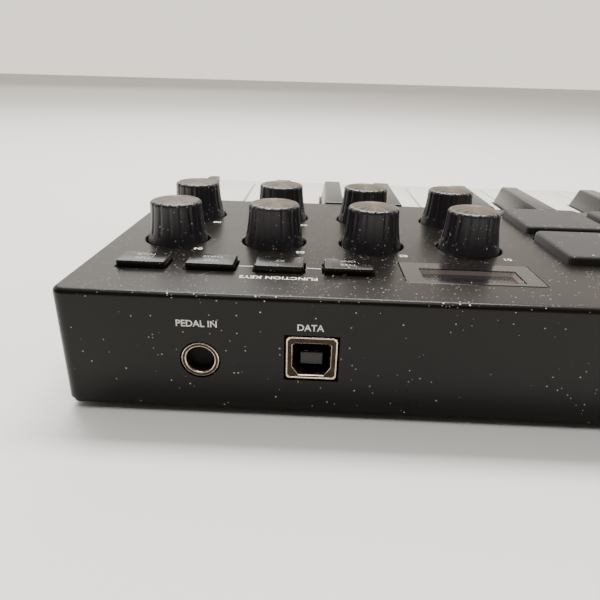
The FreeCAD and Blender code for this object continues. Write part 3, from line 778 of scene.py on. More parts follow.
    def mount(self, body: str, slot: Slot, stands_for: Sequence[str] = ()) -> "Blank":
        """Puts the finished piece on its body.

        Args:
            body: The body that it rides on.
            slot: The record's material slot; not used.
            stands_for: The CAD nodes that it stands for.

        Returns:
            The blank.
        """
        self.clear()
        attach(self.piece, body)
        if stands_for:
            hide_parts(*stands_for)
        LOG.info("%s rides on %s, %d faces", self.piece.name, body, len(self.piece.data.polygons))
        return self


def dress_node(node: str, material: bpy.types.Material) -> None:
    """Gives a CAD node its finish.

    Args:
        node: The node's name.
        material: Its material.
    """
    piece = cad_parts[node]
    for slot in piece.material_slots:
        slot.material = material
    LOG.info("%s is %s", node, material.name)


# ---- casing and what it holds -------------------------------------------------------------------
@dataclass
class Casework:
    """The case halves, and the parts inside that keep the frame's solids."""

    finishes: Finishes

    def build(self) -> None:
        """Dresses each kept node."""
        finishes = self.finishes
        plan = {"top_case": finishes.case, "bottom_case": finishes.case, "case_screws": finishes.black_steel,
                "rubber_feet": finishes.soft_rubber, "key_frame": finishes.frame_plastic,
                "key_pivot_rod": finishes.steel, "key_contact_strip": finishes.contact_rubber,
                "main_board": finishes.board, "encoders": finishes.steel, "display_module": finishes.screen,
                "stick_base": finishes.frame_plastic, "stick_gimbal": finishes.frame_plastic}
        for node, material in plan.items():
            dress_node(node, material)


# ---- knobs --------------------------------------------------------------------------------------
@dataclass
class Knobs:
    """Eight endless knobs: a flared skirt with narrow grooves and a turned, barely domed top.

    The foot, rim and face are in millimetres, counted from the deck and from the axis.
    """

    finishes: Finishes
    count: int = 8
    grooves: int = 16
    steps_per_groove: int = 12
    groove_half_width: float = 0.62 * MM
    groove_depth: float = 0.3 * MM
    groove_foot: float = 2.3 * MM
    groove_reach: float = 6.6 * MM
    levels: int = 5
    foot: float = -0.85
    skirt_foot: float = -0.45
    foot_step: float = 0.35
    height: float = 10.5 * MM
    top_radius: float = 7.36 * MM
    flare: float = 1.4 * MM
    flare_power: float = 1.7
    rings: int = 34
    rim: tuple[tuple[float, float], ...] = (
        (7.33, 10.76), (7.24, 11.0), (7.09, 11.2), (6.89, 11.35), (6.66, 11.45), (6.42, 11.52))
    face: tuple[tuple[float, float], ...] = (
        (6.3, 11.55), (5.6, 11.64), (4.6, 11.74), (3.4, 11.82), (2.0, 11.88), (0.5, 11.9))

    def build(self) -> None:
        """Models one cap and copies it to the other places."""
        first = middle("knob_1")
        caps = [self.model(first)]
        for number in range(2, self.count + 1):
            place = middle("knob_%d" % number)
            caps.append(caps[0].copy("knob_cap_%d" % number, (place.x - first.x, place.y - first.y, 0)))
        for number, piece in enumerate(caps, start=1):
            self.finish(piece, number)

    def radius_at(self, height: float) -> float:
        """The skirt's radius at a height above the deck."""
        share = max(0.0, (self.height - height) / self.height)
        return self.top_radius + self.flare * share ** self.flare_power

    def model(self, centre: Vector) -> Blank:
        """Models the cap.

        Args:
            centre: A point on its axis.

        Returns:
            The cap in its place.
        """
        axis = Vector((centre.x, centre.y, high_corner("knob_1").z - self.face[-1][1] * MM))
        rise = self.height / MM - self.skirt_foot
        heights = [self.skirt_foot + rise * i / self.rings for i in range(self.rings + 1)]
        skirt = [(self.radius_at(h * MM) / MM, h) for h in heights]
        first = skirt[0][0] - self.foot_step
        cap = Blank.post("knob_cap_1", first, axis, (self.foot - 0.1, self.foot),
                         self.grooves * self.steps_per_groove)
        cap.pick_faces(looks(UP))
        cap.grow(axis, UP, [(first, self.foot)] + skirt + list(self.rim) + list(self.face))
        self.groove(cap, axis)
        return cap.smooth(40)

    def groove(self, cap: Blank, axis: Vector) -> None:
        """Presses the grooves into the skirt, each with a round lower end.

        Args:
            cap: The cap.
            axis: The foot of its axis, on the deck.
        """
        def depth_at(place: Vector) -> float:
            """How deep a groove is at a point of the skirt, as a share of its full depth."""
            out = place.xy - axis.xy
            turn = math.atan2(out.y, out.x) / TURN * self.grooves
            across = abs(turn - round(turn)) * TURN / self.grooves * self.top_radius
            below = max(0.0, self.groove_foot + self.groove_half_width - (place.z - axis.z))
            away = min(1.0, math.hypot(across, below) / self.groove_half_width)
            return math.cos(away * math.pi / 2) ** 1.2

        for level in range(1, self.levels + 1):
            share = (level - 0.5) / self.levels

            def is_pressed(place: Vector, normal: Vector, share: float = share) -> bool:
                """True for a point of the skirt or rim that this pass presses in."""
                return (place.xy - axis.xy).length > self.groove_reach and depth_at(place) > share

            factor = 1 - self.groove_depth / self.levels / (self.top_radius + self.flare * 0.4)
            cap.pick_points(is_pressed).resize((factor, factor, 1), axis)

    def finish(self, cap: Blank, number: int) -> None:
        """Dresses one cap and puts it on its body.

        Args:
            cap: The cap.
            number: Its number.
        """
        node = "knob_%d" % number
        centre = middle(node)
        edge = self.face[0][0] * MM
        cap.dress(self.finishes.knob)
        cap.pick_faces(lambda place, normal: normal.z > 0.8 and (place.xy - centre.xy).length < edge)
        cap.paint(self.finishes.spun(node, (centre.x, centre.y, 0.0)))
        cap.mount(node, Slot.KNOB, [node])


# ---- buttons ------------------------------------------------------------------------------------
@dataclass
class Buttons:
    """Ten low rectangular button caps, with a word or sign printed on each."""

    finishes: Finishes
    width: float = 12.3 * MM
    depth: float = 7.6 * MM
    flange: float = 1.1 * MM
    flange_reach: float = 1.1 * MM
    height: float = 5.1 * MM
    corner: float = 0.5 * MM
    edge: float = 0.24 * MM
    rise: float = 0.3 * MM
    stem: float = 3.0 * MM
    letter: float = 1.9 * MM
    line_pitch: float = 2.8 * MM
    words_shift: float = -0.4 * MM
    words: dict[str, tuple[str, ...]] = field(default_factory=lambda: {
        "button_select": ("TYPE", "FOUR"), "button_program": ("TYPE", "THREE"), "button_control": ("XY",),
        "button_bank": ("TYPE", "ONE"), "button_arpeggio": ("A",), "button_tempo": ("B",),
        "button_repeat": ("C",), "button_level": ("D",), "button_octave_down": ("-",),
        "button_octave_up": ("+",)})

    def build(self) -> None:
        """Models one cap, copies it, and prints each."""
        names = list(self.words)
        first = middle(names[0])
        cap = self.model(names[0])
        for name in names[1:]:
            place = middle(name)
            self.finish(cap.copy(name + "_cap", (place.x - first.x, place.y - first.y, 0)), name)
        self.finish(cap, names[0])

    def model(self, node: str) -> Blank:
        """Models one cap with its retaining flange and its plunger.

        Args:
            node: The CAD node that it stands for.

        Returns:
            The cap in its place.
        """
        low, high, centre = box(node)
        top = high.z
        base = top - self.height
        half = Vector((self.width / 2, self.depth / 2, 0))
        around = Vector((centre.x, centre.y, 0))
        cap = Blank.block(node + "_cap", around - half + Vector((0, 0, base + self.rise)),
                          around + half + Vector((0, 0, top)))
        cap.pick_edges(runs(UP)).round_edges(self.corner, 4)
        cap.soften(self.edge, 3, 50)
        reach = half + Vector((self.flange_reach, self.flange_reach, 0))
        flange = Blank.block("flange", around - reach + Vector((0, 0, base)),
                             around + reach + Vector((0, 0, base + self.flange)))
        flange.soften(0.2 * MM, 2)
        stem = Vector((self.stem / 2, self.stem / 2, 0))
        plunger = Blank.block("plunger", around - stem + Vector((0, 0, low.z)),
                              around + stem + Vector((0, 0, base + self.rise)))
        plunger.soften(0.15 * MM, 2)
        return cap.join([flange, plunger]).smooth()

    def finish(self, cap: Blank, node: str) -> None:
        """Dresses one cap, prints it and puts both on the button's body.

        Args:
            cap: The cap.
            node: The button's name.
        """
        cap.dress(self.finishes.button).mount(node, Slot.BUTTON, [node])
        centre, top = middle(node), high_corner(node).z
        lines = self.words[node]
        rows = []
        for number, line in enumerate(lines):
            y = centre.y + self.words_shift + ((len(lines) - 1) / 2 - number) * self.line_pitch
            rows.append(Blank.words("%s_print_%d" % (node, number), line, self.letter,
                                    (centre.x, y, top + INK_LIFT), Facing.DECK))
        print_ = rows[0].join(rows[1:])
        print_.piece.name = node + "_print"
        print_.dress(self.finishes.faint_ink).mount(node, Slot.BUTTON)


# ---- keys ---------------------------------------------------------------------------------------
@dataclass
class Keys:
    """Fifteen white and ten black keys: hollow mouldings that turn on a rod under the deck."""

    finishes: Finishes
    wall: float = 1.3 * MM
    top: float = 2.0 * MM
    rear_y: float = -5.2 * MM
    white_under: float = 13.5 * MM
    black_under: float = 17.0 * MM
    gap: float = 0.9 * MM
    head_gap: float = 1.0 * MM
    black_top_share: float = 7.0 / 9.8
    black_lean: float = 4.0 * MM
    white_edge: float = 0.45 * MM
    black_edge: float = 0.75 * MM
    arm_width: float = 5.0 * MM
    arm_low: float = 12.0 * MM
    arm_high: float = 19.0 * MM

    def build(self) -> None:
        """Builds every key, the lowest first."""
        nodes = sorted((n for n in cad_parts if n.startswith("key_") and n[5:6].isdigit()),
                       key=lambda n: middle(n).x)
        blacks = [n for n in nodes if n.endswith("sharp")]
        whites = [n for n in nodes if n not in blacks]
        self.build_whites(whites, blacks)
        self.build_blacks(blacks)

    def build_whites(self, whites: list[str], blacks: list[str]) -> None:
        """Models one white key of each shape and copies it an octave up.

        Args:
            whites: The white keys' nodes.
            blacks: The black keys' nodes.
        """
        head_rear = low_corner(blacks[0]).y - self.head_gap
        shapes: dict[tuple[float, float], tuple[Blank, Vector]] = {}
        for node in whites:
            low, high = low_corner(node), high_corner(node)
            inside = [b for b in blacks if high_corner(b).x > low.x and low_corner(b).x < high.x]
            below = [high_corner(b).x + self.gap for b in inside if middle(b).x < middle(node).x]
            above = [low_corner(b).x - self.gap for b in inside if middle(b).x > middle(node).x]
            left, right = max(below + [low.x]), min(above + [high.x])
            shape = (round(left - low.x, 5), round(high.x - right, 5))
            if shape in shapes:
                model, corner = shapes[shape]
                key = model.copy(node + "_top", (low.x - corner.x, 0, 0))
            else:
                key = self.model_white(node, left, right, head_rear)
                shapes[shape] = (key, low)
            key.dress(self.finishes.white_key).mount(node, Slot.WHITE_KEY, [node])

    def model_white(self, node: str, left: float, right: float, head_rear: float) -> Blank:
        """Models one white key.

        Args:
            node: The CAD node that it stands for.
            left: Where its narrow rear part begins in X.
            right: Where its narrow rear part ends in X.
            head_rear: Where its wide front part ends in Y.

        Returns:
            The key in its place.
        """
        low, high = low_corner(node), high_corner(node)
        key = Blank.block(node + "_top", (low.x, low.y, self.white_under), (high.x, head_rear, high.z))
        for x in (left, right):
            if low.x + 0.1 * MM < x < high.x - 0.1 * MM:
                key.slice((x, 0, 0), (1, 0, 0))
        key.pick_faces(lambda place, normal: normal.y > 0.9 and left < place.x < right)
        key.extrude((0, self.rear_y - head_rear, 0))
        key.pick_faces(looks(DOWN)).inset(self.wall)
        key.extrude((0, 0, high.z - self.top - self.white_under))
        key.soften(self.white_edge, 3, 60)
        self.add_arm(key, node, (left + right) / 2)
        return key.smooth()

    def build_blacks(self, blacks: list[str]) -> None:
        """Models one black key and copies it.

        Args:
            blacks: The black keys' nodes.
        """
        first = low_corner(blacks[0])
        model = self.model_black(blacks[0])
        for node in blacks[1:]:
            key = model.copy(node + "_top", (low_corner(node).x - first.x, 0, 0))
            key.dress(self.finishes.black_key).mount(node, Slot.BLACK_KEY, [node])
        model.dress(self.finishes.black_key).mount(blacks[0], Slot.BLACK_KEY, [blacks[0]])

    def model_black(self, node: str) -> Blank:
        """Models one black key.

        Args:
            node: The CAD node that it stands for.

        Returns:
            The key in its place.
        """
        low, high, centre = box(node)
        shoulder = high_corner("key_c3").z
        key = Blank.block(node + "_top", (low.x, low.y, self.black_under), (high.x, self.rear_y, shoulder))
        key.pick_faces(looks(UP))
        key.extrude((0, 0, high.z - shoulder))
        length = self.rear_y - low.y
        key.resize((self.black_top_share, (length - self.black_lean) / length, 1),
                   (centre.x, self.rear_y, high.z))
        key.pick_faces(looks(DOWN)).inset(self.wall)
        key.extrude((0, 0, shoulder - self.black_under))
        key.soften(self.black_edge, 4, 25)
        self.add_arm(key, node, centre.x)
        return key.smooth()

    def add_arm(self, key: Blank, node: str, x: float) -> None:
        """Joins the arm that carries the key back to its rod.

        Args:
            key: The key.
            node: Its CAD node.
            x: The arm's centre.
        """
        low, high = low_corner(node), high_corner(node)
        arm = Blank.block("arm", (x - self.arm_width / 2, self.rear_y - self.wall, max(low.z, self.arm_low)),
                          (x + self.arm_width / 2, high.y, self.arm_high))
        arm.soften(0.3 * MM, 2)
        key.join([arm])


# ---- pads ---------------------------------------------------------------------------------------
@dataclass
class Pads:
    """Eight pads moulded in one silicone sheet, each with soft edges and a slight crown."""

    finishes: Finishes
    columns: int = 4
    rows: int = 2
    size: float = 26.8 * MM
    pitch: float = 31.0 * MM
    margin: float = 1.7 * MM
    sheet: float = 1.2 * MM
    crown: float = 0.25 * MM
    crown_rings: tuple[float, ...] = (1.0, 0.88, 0.7, 0.45, 0.2)
    corner: float = 2.0 * MM
    edge: float = 1.0 * MM
    node: str = "pad_sheet"

    def build(self) -> None:
        """Models one pad, copies it and joins all eight to their sheet."""
        low, high = low_corner(self.node), high_corner(self.node)
        x, y = low.x + self.margin, low.y + self.margin
        top = high.z - self.crown
        pad = Blank.block("pads", (x, y, low.z + 0.2 * MM), (x + self.size, y + self.size, top))
        centre = Vector((x + self.size / 2, y + self.size / 2, top))
        pad.pick_edges(runs(UP)).round_edges(self.corner, 6)
        pad.pick_faces(looks(UP))
        half = self.size / 2 / MM
        pad.grow(centre, UP, [(half * share, self.crown / MM * (1 - share ** 2))
                              for share in self.crown_rings])
        pad.pick_edges(lambda place, way: abs(place.z - top) < 0.01 * MM and abs(way.z) < 0.1)
        pad.round_edges(self.edge, 5)
        pads = [pad.copy("pad_copy", (self.pitch * column, self.pitch * row, 0))
                for column in range(self.columns) for row in range(self.rows) if column or row]
        base = Blank.block("pad_base", low, (high.x, high.y, low.z + self.sheet)).soften(0.3 * MM, 2)
        pad.join(pads + [base])
        pad.smooth(35)
        pad.piece.name = "silicone_pads"
        pad.dress(self.finishes.pad).mount("chassis", Slot.PAD, [self.node])


# ---- display ------------------------------------------------------------------------------------
@dataclass
class Display:
    """A window in the deck: a black-backed bezel, the dark screen sunk in it, and the clear pane on top."""

    finishes: Finishes
    node: str = "display_lens"
    corner: float = 0.8 * MM
    window_x: tuple[float, float] = (46.9 * MM, 71.5 * MM)
    window_y: tuple[float, float] = (68.1 * MM, 76.5 * MM)
    edge: float = 0.25 * MM
    ledge: float = 0.25 * MM
    sink: float = 1.9 * MM
    wall_lean: float = 0.5 * MM
    pane: float = 0.25 * MM
    pane_gap: float = 0.04 * MM

    def build(self) -> None:
        """Builds the bezel and the pane."""
        self.build_bezel()
        self.build_pane()

    def build_bezel(self) -> None:
        """Builds the bezel with the screen at the foot of its well."""
        low, high, centre = box(self.node)
        size = high - low
        rim = high.z - self.edge
        bezel = Blank.block("display_bezel", low, (high.x, high.y, rim))
        bezel.pick_edges(runs(UP)).round_edges(self.corner, 5)
        bezel.pick_faces(looks(UP))
        inner = size - Vector((2 * self.edge, 2 * self.edge, size.z))
        bezel.shrink(centre, (size.xy.to_3d(), inner), (0, 0, self.edge))
        well = Vector((self.window_x[1] - self.window_x[0] + 2 * self.ledge,
                       self.window_y[1] - self.window_y[0] + 2 * self.ledge, 0))
        bezel.shrink(centre, (inner, well))
        bezel.move((sum(self.window_x) / 2 - centre.x, sum(self.window_y) / 2 - centre.y, 0))
        bezel.extrude((0, 0, -self.pane))
        middle_of_well = Vector((sum(self.window_x) / 2, sum(self.window_y) / 2, high.z))
        window = well - Vector((2 * self.ledge, 2 * self.ledge, 0))
        bezel.shrink(middle_of_well, (well, window))
        floor = window - Vector((2 * self.wall_lean, 2 * self.wall_lean, 0))
        bezel.shrink(middle_of_well, (window, floor), (0, 0, self.pane - self.sink))
        bezel.smooth(30).dress(self.finishes.bezel)
        half = (window.x / 2, window.y / 2)
        # painted light: the well's walls under the pane take the pale finish
        bezel.pick_faces(lambda place, normal: abs(normal.z) < 0.6
                         and place.z < high.z - self.pane - 0.1 * MM
                         and abs(place.x - middle_of_well.x) < half[0]
                         and abs(place.y - middle_of_well.y) < half[1])
        bezel.paint(self.finishes.painted_light_wall)
        floor_z = high.z - self.sink
        bezel.pick_faces(lambda place, normal: normal.z > 0.9 and abs(place.z - floor_z) < 0.05 * MM)
        bezel.paint(self.finishes.screen)
        bezel.mount("chassis", Slot.LENS, [self.node])

    def build_pane(self) -> None:
        """Builds the clear pane over the well."""
        top = high_corner(self.node).z
        reach = self.ledge - self.pane_gap
        (left, right), (front, rear) = self.window_x, self.window_y
        pane = Blank.block("display_pane", (left - reach, front - reach, top - self.pane),
                           (right + reach, rear + reach, top - 0.01 * MM))
        pane.soften(0.05 * MM, 1).smooth()
        pane.dress(self.finishes.pane).mount("chassis", Slot.LENS, [self.node])


# ---- sockets ------------------------------------------------------------------------------------
@dataclass
class PedalJack:
    """Quarter-inch jack: a nickel nose with a rolled lip, its bore, and the plastic body behind."""

    finishes: Finishes
    node: str = "pedal_jack"
    sides: int = 72
    proud: float = 0.04 * MM
    bore_depth: float = 26.0 * MM
    sleeve: float = 0.6 * MM
    wall: float = 2.2 * MM
    opening: float = 8.8 * MM
    nose: tuple[tuple[float, float], ...] = (
        (4.6, -0.4), (4.55, -0.2), (4.43, -0.07), (4.26, 0.0), (4.1, -0.03), (3.8, -0.06), (3.66, -0.02),
        (3.56, -0.03), (3.43, -0.12), (3.34, -0.3), (3.27, -0.6), (3.25, -1.0))
    shaded_face_radii: tuple[float, float] = (3.72, 4.3)

    def build(self) -> None:
        """Builds the nose with its bore, and the body."""
        high, centre = high_corner(self.node), middle(self.node)
        face = Vector((centre.x, high.y + self.proud, centre.z))
        start = face + Vector((0, self.nose[0][1] * MM, 0))
        nose = Blank.bar("jack_nose", self.nose[0][0] * MM, start - Vector((0, self.wall, 0)), start,
                         self.sides)
        nose.pick_faces(looks(REARWARD))
        nose.grow(face, REARWARD, self.nose)
        nose.extrude((0, -self.sleeve, 0)).extrude((0, self.sleeve - self.bore_depth, 0))
        nose.smooth(50).dress(self.finishes.nickel)
        # painted shade: the nose's flat face between these radii takes the darkened copy of the plating
        inside, outside = (radius * MM for radius in self.shaded_face_radii)
        nose.pick_faces(lambda place, normal: normal.y > 0.9
                        and inside < Vector((place.x - centre.x, place.z - centre.z)).length < outside)
        nose.paint(self.finishes.shaded_nickel)
        inner = start.y - self.sleeve
        nose.pick_faces(lambda place, normal: place.y < inner and self.in_bore(place, centre))
        nose.paint(self.finishes.insert).mount("chassis", Slot.SOCKET, [self.node])
        self.build_body(high.y - self.wall - 0.1 * MM)

    def in_bore(self, place: Vector, centre: Vector) -> bool:
        """True for a point inside the bore or on its wall."""
        return Vector((place.x - centre.x, place.z - centre.z)).length < (self.nose[-1][0] + 0.05) * MM

    def build_body(self, front: float) -> None:
        """Builds the plastic body.

        Args:
            front: Where the body meets the rear panel, in Y.
        """
        low, high, centre = box(self.node)
        size = high - low
        body = Blank.block("jack_body", low, (high.x, front, high.z))
        body.pick_faces(looks(REARWARD))
        opening = Vector((self.opening, 0, self.opening))
        body.shrink(centre, ((size.x, 0, size.z), opening)).extrude((0, 1.0 * MM - self.bore_depth, 0))
        body.soften(0.5 * MM, 3).smooth().dress(self.finishes.insert)
        body.mount("chassis", Slot.SOCKET, [self.node])


@dataclass
class UsbSocket:
    """USB type B socket: a folded nickel shell with a cornered mouth, and the contact tongue in it."""

    finishes: Finishes
    node: str = "usb_socket"
    mouth: tuple[float, float] = (8.7 * MM, 8.1 * MM)
    mouth_drop: float = 0.35 * MM
    corner: float = 0.75 * MM
    low_corner_size: tuple[float, float] = (1.6 * MM, 2.3 * MM)
    rim: float = 0.7 * MM
    face_step: tuple[float, float] = (0.16 * MM, 0.14 * MM)
    fold: float = 0.7 * MM
    depth: float = 13.5 * MM
    lip: tuple[tuple[float, float], ...] = (
        (0.5 * MM, 0.1 * MM), (0.3 * MM, -0.1 * MM), (0.12 * MM, -0.4 * MM), (0.0, -1.2 * MM))
    sleeve: float = 1.7 * MM
    tongue: tuple[float, float] = (5.3 * MM, 3.2 * MM)
    tongue_back: float = 1.3 * MM
    tongue_drop: float = 0.2 * MM
    contact_pitch: float = 2.5 * MM
    contact_width: float = 0.9 * MM
    contact_back: float = 0.6 * MM

    def build(self) -> None:
        """Builds the shell, the tongue and the contacts."""
        self.build_shell()
        self.build_tongue()

    def mouth_centre(self) -> Vector:
        """The middle of the mouth, on the socket's face."""
        centre = middle(self.node)
        return Vector((centre.x, high_corner(self.node).y, centre.z - self.mouth_drop))

    def build_shell(self) -> None:
        """Builds the shell: outer fold, sunk face, inner fold and mouth."""
        low, high, centre = box(self.node)
        at = self.mouth_centre()
        size = Vector((high.x - low.x, 0, high.z - low.z))
        shell = Blank.block("usb_shell", low, high)
        shell.pick_edges(runs(REARWARD)).round_edges(self.corner, 1)
        shell.pick_faces(looks(REARWARD))
        flat = size - Vector((self.rim, 0, self.rim))
        shell.shrink(centre, (size, flat))
        step, sink = self.face_step
        sunk = flat - Vector((step, 0, step))
        shell.shrink(centre, (flat, sunk), (0, -sink, 0))
        mouth = Vector((self.mouth[0], 0, self.mouth[1]))
        fold = mouth + Vector((self.fold, 0, self.fold))
        shell.shrink(centre, (sunk, fold)).move((0, 0, -self.mouth_drop))
        self.cut_corners(shell, at, fold, self.corner * fold.x / size.x)
        for width, step in self.lip:
            ring = mouth + Vector((width, 0, width))
            shell.shrink(at, (fold, ring), (0, step, 0))
            fold = ring
        shell.extrude((0, self.sleeve - self.depth, 0))
        reach = size / 2 - Vector((self.corner, 0, self.corner)) * 1.1
        shell.pick_edges(lambda place, way: abs(way.y) > 0.9 and abs(place.x - centre.x) > reach.x
                         and abs(place.z - centre.z) > reach.z)
        shell.round_edges(0.3 * MM, 3)
        shell.pick_edges(lambda place, way: place.y > high.y - 0.01 * MM and abs(way.y) < 0.1
                         and self.outside(place, centre, size, 0.1 * MM))
        shell.round_edges(0.16 * MM, 3)
        shell.smooth(34).dress(self.finishes.nickel)
        # painted shade: the shell's flat faces that look rearward take the darkened copy of the plating
        shell.pick_faces(lambda place, normal: normal.y > 0.95 and place.y < high.y - 0.1 * MM)
        shell.paint(self.finishes.shaded_nickel)
        inner = high.y - self.sleeve - 0.3 * MM
        shell.pick_faces(lambda place, normal: low.y + 0.1 * MM < place.y < inner
                         and not self.outside(place, at, mouth, 0.2 * MM))
        shell.paint(self.finishes.insert).mount("chassis", Slot.SOCKET, [self.node])

    def cut_corners(self, shell: Blank, at: Vector, fold: Vector, corner: float) -> None:
        """Widens the mouth's two lower corners.

        Args:
            shell: The shell, with the fold's outline selected.
            at: The middle of the mouth.
            fold: The size of the fold's outline.
            corner: The size of its corners so far.
        """
        front = at.y - 0.2 * MM
        for side in (-1, 1):
            shell.pick_points(lambda place, normal: place.y > front
                              and self.near(place.z - at.z, corner - fold.z / 2)
                              and self.near(side * (place.x - at.x), fold.x / 2))
            shell.move((0, 0, self.low_corner_size[1] - corner))
            shell.pick_points(lambda place, normal: place.y > front and self.near(place.z - at.z, -fold.z / 2)
                              and self.near(side * (place.x - at.x), fold.x / 2 - corner))
            shell.move((-side * (self.low_corner_size[0] - corner), 0, 0))
        shell.pick_faces(lambda place, normal: normal.y > 0.9 and abs(place.x - at.x) < 1 * MM
                         and abs(place.z - at.z) < 1 * MM)

    @staticmethod
    def near(one: float, other: float) -> bool:
        """True for two lengths that agree to a tenth of a millimetre."""
        return abs(one - other) < 0.1 * MM

    @staticmethod
    def outside(place: Vector, centre: Vector, size: Vector, margin: float) -> bool:
        """True for a point outside, or within a margin of, the edge of a rectangle in X and Z."""
        across, up = abs(place.x - centre.x), abs(place.z - centre.z)
        return across > size.x / 2 - margin or up > size.z / 2 - margin

    def build_tongue(self) -> None:
        """Builds the tongue and its four contacts."""
        low, at = low_corner(self.node), self.mouth_centre()
        at.z -= self.tongue_drop
        half = Vector((self.tongue[0] / 2, 0, self.tongue[1] / 2))
        front = at.y - self.tongue_back
        tongue = Blank.block("usb_tongue", Vector((at.x, low.y + 2 * MM, at.z)) - half,
                             Vector((at.x, front, at.z)) + half)
        tongue.soften(0.22 * MM, 3)
        contacts = []
        for side in (-1, 1):
            for column in (-1, 1):
                x, top = at.x + column * self.contact_pitch / 2, at.z + side * half.z
                reach = self.contact_width / 2
                contacts.append(Blank.block("contact", (x - reach, low.y + 3 * MM, top - 0.06 * MM),
                                            (x + reach, front - self.contact_back, top + 0.1 * MM)))
        tongue.smooth().dress(self.finishes.tongue).mount("chassis", Slot.SOCKET, [self.node])
        strip = contacts[0].join(contacts[1:])
        strip.piece.name = "usb_contacts"
        strip.soften(0.04 * MM, 1).smooth().dress(self.finishes.gilt)
        strip.mount("chassis", Slot.SOCKET, [self.node])


# ---- thumb stick --------------------------------------------------------------------------------
@dataclass
class ThumbStick:
    """The stick: a dome that closes the hole in the deck, a neck, and a dished cap with a ridged rim."""

    finishes: Finishes
    node: str = "thumb_stick"
    dome_radius: float = 14.5 * MM
    dome_wall: float = 1.3 * MM
    dome_edge: float = 72.0
    pivot_height: float = 22.0 * MM
    post_radius: float = 3.5
    post_ends: tuple[float, float] = (-5.0, 13.2)
    ridges: int = 36
    ridge_radius: float = 8.2 * MM
    ridge_share: float = 0.13
    ridge_cut: float = 0.965
    neck: tuple[tuple[float, float], ...] = ((5.6, 13.6), (4.5, 14.2), (3.7, 15.2), (3.5, 16.0), (3.9, 17.3))
    cap: tuple[tuple[float, float], ...] = (
        (6.6, 17.0), (7.9, 17.5), (8.4, 18.5), (8.4, 20.9), (8.25, 21.5), (7.85, 21.88), (7.3, 21.95),
        (6.8, 21.75), (6.1, 21.35), (4.6, 20.95), (2.6, 20.75), (0.9, 20.7))

    def build(self) -> None:
        """Builds the dome with its neck, and the cap."""
        centre = middle(self.node)
        pivot = Vector((centre.x, centre.y, self.pivot_height))
        dome = Blank.ball("stick_dome", self.dome_radius, pivot, 72, 48)
        edge = pivot.z + self.dome_radius * math.cos(math.radians(self.dome_edge))
        dome.slice((0, 0, edge), (0, 0, -1), drop_far=True)
        dome.outward().modifier("SOLIDIFY", thickness=self.dome_wall, offset=-1.0)
        post = Blank.post("post", self.post_radius, pivot, self.post_ends, 48)
        neck = Blank.post("neck", self.neck[0][0], pivot, (self.post_ends[1], self.neck[0][1]), 48)
        neck.pick_faces(looks(UP))
        neck.grow(pivot, UP, self.neck)
        dome.join([post, neck])
        dome.smooth(35).dress(self.finishes.knob).mount(self.node, Slot.STICK, [self.node])
        self.build_cap(pivot)

    def build_cap(self, pivot: Vector) -> None:
        """Builds the rubber cap.

        Args:
            pivot: The point that the stick turns about.
        """
        radius, height = self.cap[0]
        cap = Blank.post("stick_cap", radius, pivot, (height - 0.1, height), self.ridges * 4)
        cap.pick_faces(looks(UP))
        cap.grow(pivot, UP, self.cap)

        def in_groove(place: Vector, normal: Vector) -> bool:
            """True for a point of the rim that lies in a groove."""
            out = Vector((place.x - pivot.x, place.y - pivot.y))
            turn = math.atan2(out.y, out.x) / TURN * self.ridges
            return out.length > self.ridge_radius and abs(turn - round(turn)) < self.ridge_share

        cap.pick_points(in_groove).resize((self.ridge_cut, self.ridge_cut, 1), pivot)
        cap.smooth(35).dress(self.finishes.soft_rubber).mount(self.node, Slot.STICK, [self.node])


